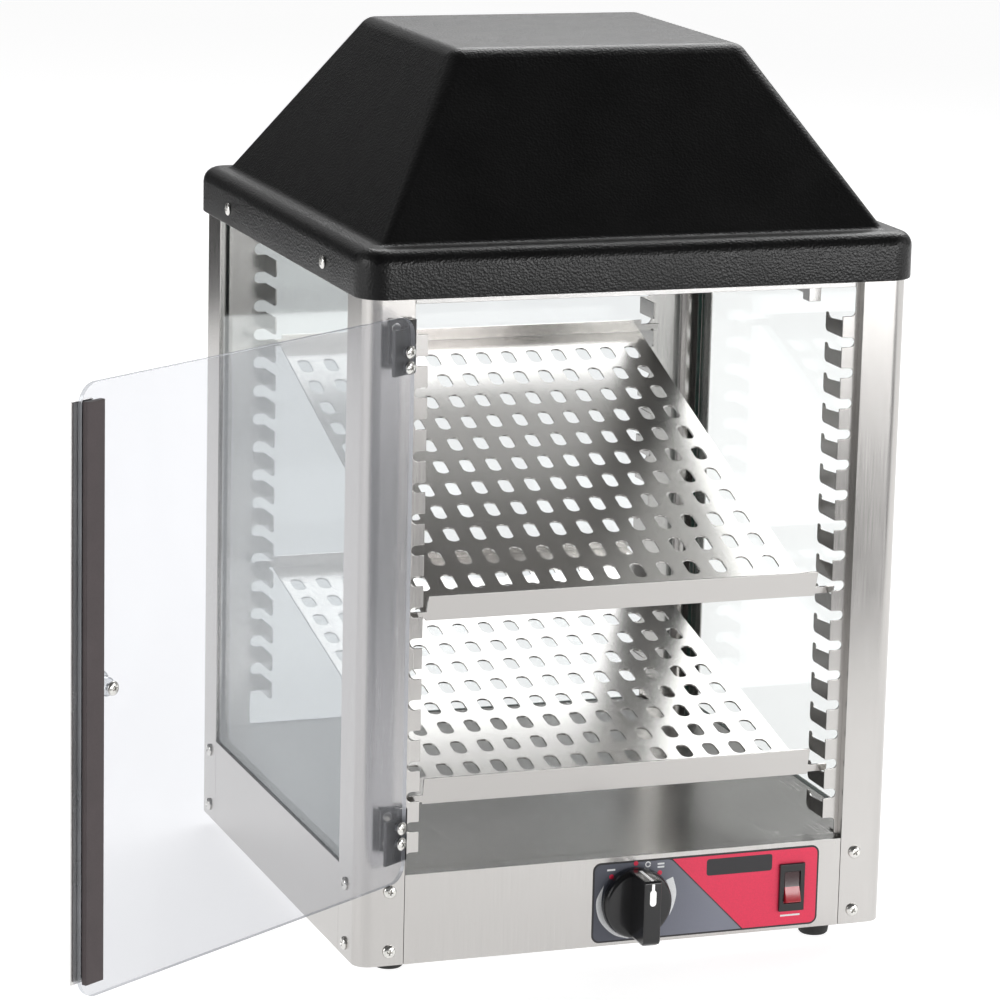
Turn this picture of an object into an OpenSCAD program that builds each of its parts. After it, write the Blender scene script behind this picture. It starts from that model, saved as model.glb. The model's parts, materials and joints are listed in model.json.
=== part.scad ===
// Counter-top hot food display case: a stainless cabinet with glass sides, a clear hinged
// door, two tilted perforated shelves, a formed black hood and a heated base.
// Millimetres, +Z up, the front faces -Y. The origin is the cabinet's centre on the counter.
// The door stands open at rest; everything on it is drawn closed and then swung open.

/* [Cabinet] */
// Width of the cabinet over its corner posts
case_w = 340; // [336:1:344]
// Depth of the cabinet over its corner posts
case_d = 340; // [336:1:344]
// Height of the feet
foot_h = 10; // [8:1:16]
// Height of the heated base, from the cabinet's bottom edge to the cabin floor
base_h = 55.4; // [55:0.2:57]
// Height of the corner posts
post_h = 400.9; // [398:0.1:406]
// Width of a post's front or rear face
post_face_w = 29.5; // [27:0.5:29.5]
// Width of a post's side face
post_side_w = 35.5; // [30:0.5:38]
// Outer corner radius of the posts
post_r = 10; // [6:1:12]
// Thickness of the stainless sheet
sheet_t = 1.2; // [0.8:0.1:1.2]
// Thickness of the glass panels
glass_t = 3; // [2:0.5:3]

/* [Hood] */
// How far the hood stands out past the posts on each side
hood_overhang = 4.3; // [4.2:0.1:6]
// Height of the hood's straight brim
hood_brim_h = 28.4; // [24:0.2:34]
// Height of the whole hood
hood_h = 132.3; // [110:0.1:150]
// How far the tapered crown's foot is set in from the brim
crown_inset = 12.5; // [11:0.5:16]
// Width of the hood's flat top
crown_top_w = 185.6; // [150:0.2:220]
// Depth of the hood's flat top
crown_top_d = 175.6; // [150:0.2:220]
// Thickness of the formed hood
hood_t = 3; // [2.5:0.1:3]

/* [Shelf rails] */
// Number of slots in each rail
slot_count = 16; // [14:1:16]
// Height of one slot step
slot_pitch = 18.68; // [18.6:0.01:18.7]
// Height of a slot where it crosses a front rail's face
slot_h = 5.9; // [5.7:0.1:6.1]
// How far a front seat dips below its slot, behind which the retaining horn stands
seat_dip = 2.4; // [2:0.1:2.6]

/* [Shelves] */
// Width of a shelf between its tabs
shelf_w = 248; // [247:1:250]
// Length of a shelf along its slope
shelf_l = 319; // [317:1:321]
// Front slot that holds the upper shelf, counted from the bottom
upper_front_slot = 7; // [6:1:8]
// Front slot that holds the lower shelf, counted from the bottom
lower_front_slot = 1; // [0:1:2]

/* [Door] */
// Width of the clear door pane
door_w = 280; // [270:1:280]
// Height of the clear door pane
door_h = 337.2; // [330:0.2:337.4]
// How far the door stands open at rest
door_open = 146.64; // [0:0.02:160]

/* [Controls] */
// Diameter of the temperature knob
knob_d = 44; // [38:0.5:45]
// How far the knob's grip stands out from its back
knob_reach = 27.5; // [22:0.5:30]

/* [Hidden] */
$fn = 48;
eps = 0.5; // how far a cutter runs past the surface it cuts

hw = case_w / 2;
hd = case_d / 2;
floor_z = foot_h + base_h;
post_top = foot_h + post_h;

// Colours
steel = "gainsboro";
bright = "silver";
black = [0.06, 0.06, 0.07];
rubber = [0.04, 0.04, 0.04];
clear = [0.8, 0.9, 0.92, 0.35];
red = [0.55, 0.05, 0.08];

// Screws: pan heads with a cross recess
screw_r = 4;
screw_head_h = 2.4;
screw_dome_r = 6.2;
shank_r = 1.95;
shank_gap = 0.1;
face_screw_x = hw - 20.4;
side_screw_y = hd - 22.5;
low_screw_z = foot_h + 8.9;
high_screw_z = foot_h + 45.9;

// Feet
foot_r = 10;
foot_inset = 30; // the front left foot sits this far in from both sides
right_foot_x = hw - 37;
right_foot_y = hd - 20;
left_foot_x = hw - foot_inset;
left_foot_y = hd - foot_inset;
foot_places = [
    [-left_foot_x, -left_foot_y], [right_foot_x, -right_foot_y],
    [-left_foot_x, left_foot_y], [right_foot_x, right_foot_y]
];
foot_recess_r = 5.2;
foot_recess_h = 4;

// Base
seam = 0.2; // gap between neighbouring sheets
lip_w = 12; // depth of the sheets' folded edges
tab_w = 19; // how far a panel's joggled ends run behind the posts
ledge_screw_x = hw - 62; // screws that hold the bottom cover to the front and rear panels
ledge_screw_y = hd - 9;
vent_w = 4;

// Front post: the folded edge that frames the door opening
return_d = 6.2;
return_back = 15;

// Rails
rail_x = 130.2;
rail_front_y = hd - return_d;
rail_side_l = 25.5;
rail_face_l = 25;
slot_reach = 8;
front_slot_z = foot_h + 82.6;
seat_fall = 1.5; // how far a front seat slopes down from the rail's face to the horn
rear_slot_z = foot_h + 94;
rear_slot_h = 7.4;
rear_rail_y = hd - sheet_t - glass_t - 0.3;
horn_h = 1.3;
horn_l = 7.5;
tooth_r = 3.5;
rail_foot_l = 14;

// Shelves
shelf_t = 1.2;
shelf_front_y = -157;
shelf_x = -2.5; // the shelves lie a little to the left, within their side play in the rails
front_lip_h = 17.2;
rear_lip_h = 9.6;
tab_h = 4.8;
tab_reach = 12.5;
front_tab_z = 1.4;
rear_tab_z = 1.6;
seat_gap = 0.05;
hole_w = 8;
hole_l = 15.8;
hole_pitch = 17.27;
row_pitch = 25.45;
row_count = 11;
holes_in_row = 14;
holes_x = -2.6; // the hole pattern lies to the left of the plate's middle
first_row = 37.5;

// Door, drawn closed
door_t = 3;
door_r = 12;
door_face_y = -(hd + 0.2);
door_left = -door_w / 2;
door_bottom = floor_z + 0.9;
pin_x = door_left - 4.5;
pin_y = -(hd + 4);
pin_r = 1.5;
pin_gap = 0.05;
knuckle_r = 3.3;
leaf_t = 2.2;
door_leaf_h = 27;
post_leaf_h = 26;
leaf_step = 5;
post_leaf_w = 12.2; // from the hinge's axis to the post leaf's edge
leaf_screw_x = pin_x - 8.2;
leaf_screw_z = 5; // from the ends of a post leaf to its screws
upper_hinge_z = foot_h + 358.8;
lower_hinge_z = foot_h + 67.2;
upper_screw_zs = [4.8, 13.8];
lower_screw_zs = [12.6, 22];
door_screw_x = door_left + 4.6;
door_screw_zs = concat([for (s = upper_screw_zs) upper_hinge_z + s],
    [for (s = lower_screw_zs) lower_hinge_z + s]);
strip_inset = 9;
magnet_w = 14;
magnet_t = 3.2;
edge_strip_over = 4.5;
handle_x = door_w / 2 - 24.4;
handle_z = foot_h + 225.4;

// Controls on the front panel
label_t = 0.3;
label_x0 = -21.5;
label_x1 = 126;
label_z0 = foot_h + 2.2;
label_z1 = foot_h + 52.5;
label_r = 5;
label_face = -(hd + label_t);
knob_x = 5.6;
knob_z = foot_h + 27;
knob_back = label_face - 2.5;
knob_skirt_h = 6.4;
bar_w = 11;
bar_slant = 2; // what is taken off the grip bar's upper front edge
shaft_r = 3;
bushing_r = 4.7;
switch_x = 108.15;
switch_z = foot_h + 27.25;
switch_cut_w = 13.4;
switch_cut_h = 24.4;
opening_w = 10.7;
opening_h = 20.1;
rocker_rest = 12; // how far the rocker leans at rest
rocker_pin_r = 1.2;
rocker_y = -hd;

// ---- Shared shapes ----

// A cylinder along +Y from y
module along_y(x, y, z, r, l) {
    translate([x, y, z]) rotate([-90, 0, 0]) cylinder(r = r, h = l);
}

// A cylinder along +X from x
module along_x(x, y, z, r, l) {
    translate([x, y, z]) rotate([0, 90, 0]) cylinder(r = r, h = l);
}

// A box from one corner to the other
module box(low, high) {
    translate(low) cube(high - low);
}

// A flat rectangle with rounded corners, centred
module rounded_rect(w, d, r) {
    square([w - 2 * r, d], center = true);
    square([w, d - 2 * r], center = true);
    for (x = [-1, 1], y = [-1, 1]) {
        translate([x * (w / 2 - r), y * (d / 2 - r)]) circle(r);
    }
}

// A pan-head screw: the head stands on z = 0 and the shank runs down
module pan_screw(shank_l, r = shank_r) {
    cross_l = 4.6;
    cross_w = 0.9;
    cross_h = 1.3;
    difference() {
        intersection() {
            cylinder(r = screw_r, h = screw_head_h);
            translate([0, 0, screw_head_h - screw_dome_r]) sphere(screw_dome_r);
        }
        for (a = [0, 90]) {
            rotate(a) box([-cross_l / 2, -cross_w / 2, screw_head_h - cross_h],
                [cross_l / 2, cross_w / 2, screw_head_h + eps]);
        }
    }
    translate([0, 0, -shank_l]) cylinder(r = r, h = shank_l);
}

// Puts children in all four corners, mirrored
module four_corners() {
    for (x = [0, 1], y = [0, 1]) {
        mirror([x, 0, 0]) mirror([0, y, 0]) children();
    }
}

// Swings what is drawn closed to the door's rest pose
module opened() {
    translate([pin_x, pin_y, 0]) rotate(-door_open) translate([-pin_x, -pin_y, 0]) children();
}

// ---- Feet and base ----

// One rubber foot, with a recess for its screw
module foot(place) {
    color(rubber) translate([place[0], place[1], 0]) difference() {
        cylinder(r1 = foot_r - 1, r2 = foot_r, h = foot_h);
        translate([0, 0, -eps]) cylinder(r = foot_recess_r, h = foot_recess_h + eps);
        cylinder(r = shank_r + shank_gap, h = foot_h + eps);
    }
}

module foot_front_left() { foot(foot_places[0]); }
module foot_front_right() { foot(foot_places[1]); }
module foot_rear_left() { foot(foot_places[2]); }
module foot_rear_right() { foot(foot_places[3]); }

module foot_screws() {
    color(bright) for (place = foot_places) {
        translate([place[0], place[1], foot_recess_h]) mirror([0, 0, 1]) pan_screw(foot_h - 1);
    }
}

// Bottom cover with two rows of vent slots
module base_pan() {
    pan = 2 * (hw - sheet_t - 0.4);
    color(bright) difference() {
        translate([0, 0, foot_h]) linear_extrude(sheet_t) {
            rounded_rect(pan, pan + case_d - case_w, post_r - 1);
        }
        for (place = foot_places) {
            translate([place[0], place[1], foot_h - eps]) cylinder(r = shank_r + shank_gap, h = 3);
        }
        four_corners() {
            translate([ledge_screw_x, ledge_screw_y, foot_h - eps]) {
                cylinder(r = shank_r + shank_gap, h = 3);
            }
        }
        for (i = [-3:3], y = [-60, 60]) {
            box([i * 26 - vent_w / 2, y - 35, foot_h - eps], [i * 26 + vent_w / 2, y + 35, foot_h + 3]);
        }
    }
}

// A folded base panel that stands between two posts at y = -depth, seen from the front
module folded_panel(width, depth, top_fold) {
    lap = 4; // how far the joggled ends overlap the panel itself
    fold_z = foot_h + sheet_t + seam / 2;
    top_z = top_fold == "floor" ? floor_z : floor_z - sheet_t - seam / 2;
    box([-width / 2, -depth, foot_h], [width / 2, -depth + sheet_t, floor_z]);
    for (s = [-1, 1]) {
        translate([s * (width + tab_w - lap) / 2, -depth + 1.5 * sheet_t, foot_h + base_h / 2]) {
            cube([tab_w + lap, sheet_t, base_h - 2 * lap], center = true);
        }
    }
    box([-width / 2, -depth, fold_z], [width / 2, -depth + lip_w, fold_z + sheet_t]);
    box([-width / 2, -depth, top_z - sheet_t], [width / 2, -depth + lip_w, top_z]);
}

// Clearance holes for the screws that hold a base panel's ends to the posts
module face_screw_holes(along, depth) {
    for (s = [-1, 1], z = [low_screw_z, high_screw_z]) {
        along_y(s * along, -depth - eps, z, shank_r + shank_gap, 6);
    }
}

// Holes in a lower fold for the screws that hold the bottom cover
module ledge_screw_holes() {
    for (s = [-1, 1]) {
        translate([s * ledge_screw_x, -ledge_screw_y, foot_h]) cylinder(r = shank_r - 0.2, h = 6);
    }
}

module front_panel() {
    color(steel) difference() {
        folded_panel(case_w - 2 * post_face_w - 2 * seam, hd, "floor");
        face_screw_holes(face_screw_x, hd);
        ledge_screw_holes();
        along_y(knob_x, -hd - eps, knob_z, bushing_r + 0.1, 4);
        translate([switch_x, -hd, switch_z]) cube([switch_cut_w, 6, switch_cut_h], center = true);
    }
}

module side_base_panel() {
    rotate(90) difference() {
        folded_panel(case_d - 2 * post_side_w - 2 * seam, hw, "ledge");
        face_screw_holes(side_screw_y, hw);
    }
}

module right_base_panel() { color(steel) side_base_panel(); }
module left_base_panel() { color(steel) mirror([1, 0, 0]) side_base_panel(); }

gland_x = 118;
gland_z = foot_h + 30;
gland_r = 8;
gland_bore_r = 4.2;

module rear_base_panel() {
    color(steel) mirror([0, 1, 0]) difference() {
        folded_panel(case_w - 2 * post_face_w - 2 * seam, hd, "ledge");
        face_screw_holes(face_screw_x, hd);
        ledge_screw_holes();
        along_y(gland_x, -hd - eps, gland_z, gland_r + 0.1, 4);
        for (i = [-4:4]) {
            box([i * 18 - vent_w / 2, -hd - eps, foot_h + 20], [i * 18 + vent_w / 2, -hd + 3, foot_h + 44]);
        }
    }
}

// Cabin floor, notched for the front panel's folded top edge
module floor_pan() {
    color(steel) difference() {
        translate([0, 0, floor_z - sheet_t]) linear_extrude(sheet_t) {
            rounded_rect(2 * (hw - sheet_t - seam), 2 * (hd - sheet_t - seam), post_r - 1);
        }
        box([-(hw - post_face_w), -hd, floor_z - 3], [hw - post_face_w, lip_w + seam - hd, floor_z + 1]);
    }
    color(steel) box([-hw + post_face_w + 4, lip_w - hd - 6, floor_z - 2 * sheet_t],
        [hw - post_face_w - 4, lip_w - hd + 8, floor_z - sheet_t]);
}

// ---- Posts, glass and rails ----

// The section of a corner post: outer corner at the origin, legs along -X and +Y
module post_section() {
    translate([-post_face_w, 0]) square([post_face_w - post_r, sheet_t]);
    translate([-sheet_t, post_r]) square([sheet_t, post_side_w - post_r]);
    translate([-post_r, post_r]) intersection() {
        difference() {
            circle(post_r);
            circle(post_r - sheet_t);
        }
        translate([0, -post_r]) square(post_r);
    }
}

// The folded edge of a front post beside the door opening
module post_return_section() {
    translate([-post_face_w, 0]) square([sheet_t, return_d]);
    translate([-post_face_w, return_d - sheet_t]) square([return_back, sheet_t]);
}

// The front right post; the others are its mirror images
module post(with_return) {
    difference() {
        translate([hw, -hd, foot_h]) {
            linear_extrude(post_h) post_section();
            if (with_return) {
                translate([0, 0, base_h + seam]) linear_extrude(post_h - base_h - 1.6) {
                    post_return_section();
                }
            }
        }
        for (z = [low_screw_z, high_screw_z]) {
            along_y(face_screw_x, -hd - eps, z, shank_r + shank_gap, 3);
            along_x(hw - 2, -side_screw_y, z, shank_r + shank_gap, 3);
        }
    }
}

module post_front_right() { color(steel) post(true); }
module post_front_left() { color(steel) mirror([1, 0, 0]) post(true); }
module post_rear_right() { color(steel) mirror([0, 1, 0]) post(false); }
module post_rear_left() { color(steel) mirror([1, 0, 0]) mirror([0, 1, 0]) post(false); }

module post_screws() {
    color(bright) four_corners() {
        for (z = [low_screw_z, high_screw_z]) {
            translate([face_screw_x, hd, z]) rotate([-90, 0, 0]) rotate(20) pan_screw(6);
            translate([hw, side_screw_y, z]) rotate([0, 90, 0]) rotate(35) pan_screw(6);
        }
    }
}

// Screws that hold the bottom cover to the folded panels
module base_screws() {
    color(bright) four_corners() {
        translate([ledge_screw_x, ledge_screw_y, foot_h]) mirror([0, 0, 1]) pan_screw(5, shank_r - 0.3);
    }
}

glass_l = case_d - 40;
glass_top = post_top - 3;

module right_glass() {
    color(clear) box([hw - sheet_t - seam - glass_t, -glass_l / 2, floor_z + seam],
        [hw - sheet_t - seam, glass_l / 2, glass_top]);
}

module left_glass() { mirror([1, 0, 0]) right_glass(); }

module back_glass() {
    color(clear) box([-hw + 20, hd - sheet_t - seam - glass_t, floor_z + seam],
        [hw - 20, hd - sheet_t - seam, glass_top]);
}

// One slot cut through a rail: height h above z, through both legs, with a round end
module rail_slot(z, h) {
    box([rail_x - eps, -rail_front_y - eps, z],
        [rail_x + slot_reach - h / 2, -rail_front_y + 3, z + h]);
    along_y(rail_x + slot_reach - h / 2, -rail_front_y - eps, z + h / 2, h / 2, 3);
}

// The cut-away at a rail's end, past its last tooth, with one rounded corner at z
module rail_end_cut(z, up) {
    r = 3;
    far = up * 60;
    box([rail_x - eps, -rail_front_y - eps, min(z + up * r, z + far)],
        [rail_x + slot_reach, -rail_front_y + 3, max(z + up * r, z + far)]);
    box([rail_x - eps, -rail_front_y - eps, min(z, z + up * (r + 0.1))],
        [rail_x + slot_reach - r, -rail_front_y + 3, max(z, z + up * (r + 0.1))]);
    along_y(rail_x + slot_reach - r, -rail_front_y - eps, z + up * r, r, 3);
}

// A tooth's side leg from bottom to top: its seat slopes down to the rear, where a horn stands
module horned_tooth(free_y, bottom, top) {
    low = top - seat_fall;
    polygon([[-rail_front_y, bottom], [free_y, bottom], [free_y, top + horn_h - 0.6],
        [free_y - 0.6, top + horn_h], [free_y - 1.6, top + horn_h], [free_y - 3.6, low + 1],
        [free_y - 5.2, low + 0.2], [free_y - horn_l, low], [-rail_front_y, top]]);
}

// What rounding takes off a tooth's lower rear corner, seen from the round's centre
module tooth_corner() {
    difference() {
        translate([0, -tooth_r - eps]) square(tooth_r + eps);
        circle(tooth_r);
    }
}

// A notched rail at the front right. first: centre of its lowest slot, h: slot height,
// dip: how far the seats lie below the slots, horns: whether retaining horns stand on the seats
module rail(first, h, dip, horns) {
    low = first - slot_pitch + h / 2;
    high = first + slot_count * slot_pitch - h / 2;
    free_y = rail_side_l - rail_front_y;
    difference() {
        box([rail_x, -rail_front_y, floor_z + seam],
            [rail_x + rail_face_l, -rail_front_y + sheet_t, post_top - 1.6]);
        for (k = [0:slot_count - 1]) {
            rail_slot(first + k * slot_pitch - h / 2, h);
        }
        rail_end_cut(low, -1);
        rail_end_cut(high, 1);
    }
    for (k = [0:slot_count]) {
        bottom = first + (k - 1) * slot_pitch + h / 2;
        top = first + k * slot_pitch - h / 2 - dip;
        translate([rail_x, 0, 0]) rotate([90, 0, 90]) linear_extrude(sheet_t) {
            difference() {
                if (horns) {
                    horned_tooth(free_y, bottom, top);
                } else {
                    translate([-rail_front_y, bottom]) square([rail_side_l, top - bottom]);
                }
                translate([free_y - tooth_r, bottom + tooth_r]) tooth_corner();
            }
        }
    }
    box([rail_x + rail_face_l - rail_foot_l, -rail_front_y, floor_z + seam],
        [rail_x + rail_face_l, -rail_front_y + rail_foot_l, floor_z + seam + sheet_t]);
}

module front_rail() { rail(front_slot_z, slot_h, seat_dip, true); }

module rear_rail() {
    mirror([0, 1, 0]) translate([0, rail_front_y - rear_rail_y, 0]) {
        rail(rear_slot_z, rear_slot_h, 0, false);
    }
}

module rail_front_right() { color(steel) front_rail(); }
module rail_front_left() { color(steel) mirror([1, 0, 0]) front_rail(); }
module rail_rear_right() { color(steel) rear_rail(); }
module rail_rear_left() { color(steel) mirror([1, 0, 0]) rear_rail(); }

// ---- Top ----

hood_hw = hw + hood_overhang;
hood_hd = hd + hood_overhang;
hood_corner = 17;
brim_round = 9;
crown_r = 12;
crown_foot_r = 5;
hood_screw_y = 100;
hood_screw_z = post_top + 10.5;
header_h = 4.6;
header_x = rail_x + slot_reach - seam;
flange_h = 20;

// Ceiling sheet on the posts, with flanges up inside the hood and a header above the door
module top_liner() {
    w = 2 * (hood_hw - hood_t - 0.1);
    d = 2 * (hood_hd - hood_t - 0.1);
    color(bright) difference() {
        union() {
            translate([0, 0, post_top]) linear_extrude(sheet_t) {
                rounded_rect(w, d, hood_corner - hood_t);
            }
            for (s = [0, 1]) {
                mirror([s, 0, 0]) box([w / 2 - sheet_t, -hd + 20, post_top],
                    [w / 2, hd - 20, post_top + flange_h]);
                mirror([0, s, 0]) box([-hw + 20, d / 2 - sheet_t, post_top],
                    [hw - 20, d / 2, post_top + flange_h]);
            }
            box([-header_x, 0.2 - rail_front_y, post_top - header_h],
                [header_x, 0.2 - rail_front_y + sheet_t, post_top + eps]);
        }
        for (s = [0, 1], y = [-hood_screw_y, hood_screw_y]) {
            mirror([s, 0, 0]) along_x(w / 2 - 4, y, hood_screw_z, shank_r + shank_gap, 6);
        }
    }
}

// Folded clip and channel that carry the cabin's sensor, under the ceiling at the right
module sensor_bracket() {
    x0 = 120.6;
    x1 = 128.1;
    y0 = -135;
    z0 = post_top - 18;
    channel_l = 75;
    color(bright) {
        box([x0, y0, z0], [x1, y0 + 1, post_top]);
        box([x0, y0, z0], [x0 + 1, y0 + 10, post_top]);
        box([x0, y0 + 10, z0 + 4], [x0 + 1, y0 + channel_l, post_top]);
        box([x0, y0, z0 + 4], [x1 - 1, y0 + channel_l, z0 + 5]);
    }
}

// The brim's block, grown by g outwards
module brim_block(g) {
    r = hood_corner + g;
    round = brim_round + g;
    hull() for (x = [-1, 1], y = [-1, 1]) {
        translate([x * (hood_hw - hood_corner), y * (hood_hd - hood_corner), 0]) {
            cylinder(r = r, h = hood_brim_h + g - round, $fn = 32);
            for (a = [0:15:90]) {
                translate([0, 0, hood_brim_h + g - round])
                    cylinder(r = r - round * (1 - cos(a)), h = round * sin(a) + 0.01, $fn = 32);
            }
        }
    }
}

// The tapered crown's block, grown by g outwards
module crown_block(g) {
    flat_inset = crown_r - 5; // the sides round over into the flat top
    foot_w = hood_hw - crown_inset - crown_foot_r;
    foot_d = hood_hd - crown_inset - crown_foot_r;
    top_w = crown_top_w / 2 - flat_inset;
    top_d = crown_top_d / 2 - flat_inset;
    hull() for (x = [-1, 1], y = [-1, 1]) {
        translate([x * foot_w, y * foot_d, 0]) {
            cylinder(r = crown_foot_r + g, h = hood_brim_h - 6, $fn = 32);
        }
        translate([x * top_w, y * top_d, hood_h - crown_r]) sphere(r = crown_r + g, $fn = 32);
    }
}

module hood() {
    color(black) translate([0, 0, post_top]) difference() {
        union() {
            brim_block(0);
            crown_block(0);
        }
        translate([0, 0, -0.01]) brim_block(-hood_t);
        crown_block(-hood_t);
        for (s = [0, 1], y = [-hood_screw_y, hood_screw_y]) {
            mirror([s, 0, 0]) along_x(hw, y, hood_screw_z - post_top, shank_r + shank_gap, 8);
        }
    }
}

module hood_screws() {
    color(bright) four_corners() {
        translate([hood_hw, hood_screw_y, hood_screw_z]) rotate([0, 90, 0]) rotate(15) pan_screw(8);
    }
}

// ---- Controls ----

module control_label() {
    w = label_x1 - label_x0;
    h = label_z1 - label_z0;
    color([0.35, 0.37, 0.42]) difference() {
        translate([label_x0 + w / 2, -hd, label_z0 + h / 2]) rotate([90, 0, 0]) {
            linear_extrude(label_t) rounded_rect(w, h, label_r);
        }
        along_y(knob_x, -hd - 2, knob_z, bushing_r + 0.3, 4);
        translate([switch_x, -hd, switch_z]) cube([switch_cut_w, 6, switch_cut_h], center = true);
    }
}

// Infinite control: boxed regulator, threaded bushing through the panel and two terminals
module infinite_control() {
    back = -hd + sheet_t;
    color([0.25, 0.22, 0.2]) difference() {
        union() {
            box([knob_x - 16, back + 0.1, knob_z - 16], [knob_x + 16, back + 28, knob_z + 16]);
            along_y(knob_x, -hd - 4.4, knob_z, bushing_r, 8);
            for (x = [-9, 9], z = [-8, 8]) {
                translate([knob_x + x, back + 31, knob_z + z]) cube([0.8, 8, 6.3], center = true);
            }
        }
        along_y(knob_x, -hd - 6, knob_z, shaft_r + 0.05, 25);
    }
}

module control_nut() {
    color(bright) difference() {
        translate([knob_x, label_face, knob_z]) rotate([90, 0, 0]) cylinder(r = 8.1, h = 2.4, $fn = 6);
        along_y(knob_x, label_face - 4, knob_z, bushing_r + 0.05, 6);
    }
}

// Bezel and sleeve of the rocker switch
module switch_bezel() {
    color(black) difference() {
        union() {
            translate([switch_x - 8.2, label_face - 2, switch_z - 15.05]) cube([16.4, 2, 30.1]);
            translate([switch_x - 6.5, label_face - 0.1, switch_z - 12]) cube([13, 9, 24]);
        }
        translate([switch_x, label_face, switch_z]) cube([opening_w, 40, opening_h], center = true);
        along_x(switch_x - 6, rocker_y, switch_z, rocker_pin_r + pin_gap, 12);
    }
}

// Contact block behind the bezel, with three blades
module switch_body() {
    color(black) translate([switch_x, label_face + 9, switch_z]) {
        box([-6.3, 0, -11.5], [6.3, 14, 11.5]);
        for (z = [-7.5, 0, 7.5]) {
            box([-3.1, 14, z - 0.4], [3.1, 22, z + 0.4]);
        }
    }
}

// Lit rocker on two stub pins, leaning with its lower half out
module rocker() {
    half = 9.5;
    color(red) translate([switch_x, rocker_y, switch_z]) rotate([-rocker_rest, 0, 0]) {
        rotate([90, 0, 90]) linear_extrude(opening_w - 0.6, center = true) {
            polygon([[-1.5, 0], [-3.2, half], [-0.6, half], [4, 7.4],
                [4, -7.4], [-0.6, -half], [-3.2, -half]]);
        }
        along_x(-5.9, 0, 0, rocker_pin_r, 11.8);
    }
}

// Knob: a round skirt, and a grip bar across it with a square upper end and a round lower end
module control_knob() {
    r = knob_d / 2;
    bar_top = r - 0.6;
    reach = knob_reach;
    color(black) difference() {
        translate([knob_x, knob_back, knob_z]) rotate([90, 0, 0]) {
            cylinder(r1 = r, r2 = r - 0.8, h = knob_skirt_h - 1.4, $fn = 64);
            translate([0, 0, knob_skirt_h - 1.4]) cylinder(r1 = r - 0.8, r2 = r - 2.4, h = 1.4, $fn = 64);
            intersection() {
                cylinder(r = r - 0.4, h = reach + 1, $fn = 64);
                translate([-bar_w / 2, 0, 0]) rotate([90, 0, 90]) linear_extrude(bar_w) {
                    polygon([[-r, 0], [bar_top, 0], [bar_top, reach - bar_slant],
                        [bar_top - bar_slant, reach],
                        [4.5 - r, reach], [2 - r, reach - 4], [-r, 10]]);
                }
            }
        }
        along_y(knob_x, knob_back - 5.3, knob_z, 10.5, 6);
        along_y(knob_x, knob_back - 19, knob_z, shaft_r + 0.02, 15);
    }
}

// White line let into the grip bar: down its upper end and on to a thicker mark on its front
module knob_pointer() {
    top = knob_d / 2 - 0.6;
    reach = knob_reach;
    paint = 0.25;
    line_w = 1.8;
    mark_r = 2;
    mark_top = 14;
    mark_bottom = 8;
    color("white") translate([knob_x, knob_back, knob_z]) rotate([90, 0, 0]) {
        translate([-line_w / 2, 0, 0]) rotate([90, 0, 90]) linear_extrude(line_w) {
            polygon([[top, knob_skirt_h], [top + paint, knob_skirt_h], [top + paint, reach - bar_slant + 0.1],
                [top - bar_slant + 0.1, reach + paint], [mark_top, reach + paint], [mark_top, reach],
                [top - bar_slant, reach], [top, reach - bar_slant]]);
        }
        translate([-mark_r, mark_bottom, reach]) cube([2 * mark_r, mark_top - mark_bottom, paint]);
        for (z = [mark_bottom, mark_top]) {
            translate([0, z, reach]) cylinder(r = mark_r, h = paint);
        }
    }
}

module control_shaft() {
    color(bright) along_y(knob_x, knob_back - 18.8, knob_z, shaft_r, 38);
}

// ---- Electrics inside the base ----

element_z = foot_h + 40;
element_r = 4;
element_x = 62;
element_y0 = -60;
element_y1 = 60;
cold_end_l = 15;

// Tubular element: two legs, a half-round bend and two thinner cold ends
module heating_element() {
    color([0.3, 0.29, 0.28]) {
        for (s = [-1, 1]) {
            along_y(s * element_x, element_y0, element_z, element_r, element_y1 - element_y0);
            along_y(s * element_x, element_y1 - 1, element_z, 2, cold_end_l + 1);
        }
        translate([0, element_y0, element_z]) rotate(180) rotate_extrude(angle = 180) {
            translate([element_x, 0]) circle(element_r);
        }
    }
}

// Saddle straps under the floor that hold the element
module element_clamps() {
    strap = element_r + 4;
    color(bright) for (s = [-1, 1], y = [-35, 35]) {
        translate([s * element_x, y, element_z]) difference() {
            box([-strap, -4, -element_r - 2], [strap, 4, floor_z - sheet_t - 0.1 - element_z]);
            along_y(0, -10, 0, element_r + 0.1, 20);
        }
    }
}

module limit_thermostat() {
    z = floor_z - sheet_t - 0.1;
    color(black) translate([0, 70, z - 11]) {
        cylinder(r = 8.5, h = 11);
        translate([0, 0, 10]) cylinder(r = 12, h = 1);
        for (s = [-1, 1]) {
            box([s * 5 - 3, -0.4, -8], [s * 5 + 3, 0.4, 0]);
        }
    }
}

terminal_y = 122;
terminal_x = 78;

module terminal_block() {
    z = foot_h + sheet_t + 0.1;
    color("ivory") translate([terminal_x, terminal_y, z]) difference() {
        union() {
            box([-20, -11, 0], [20, 11, 8]);
            for (i = [-1, 0, 1]) {
                box([i * 13 - 5, -8, 7], [i * 13 + 5, 8, 17]);
            }
        }
        for (i = [-1, 0, 1]) {
            along_y(i * 13, -9, 12, 2.1, 18);
        }
    }
}

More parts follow.
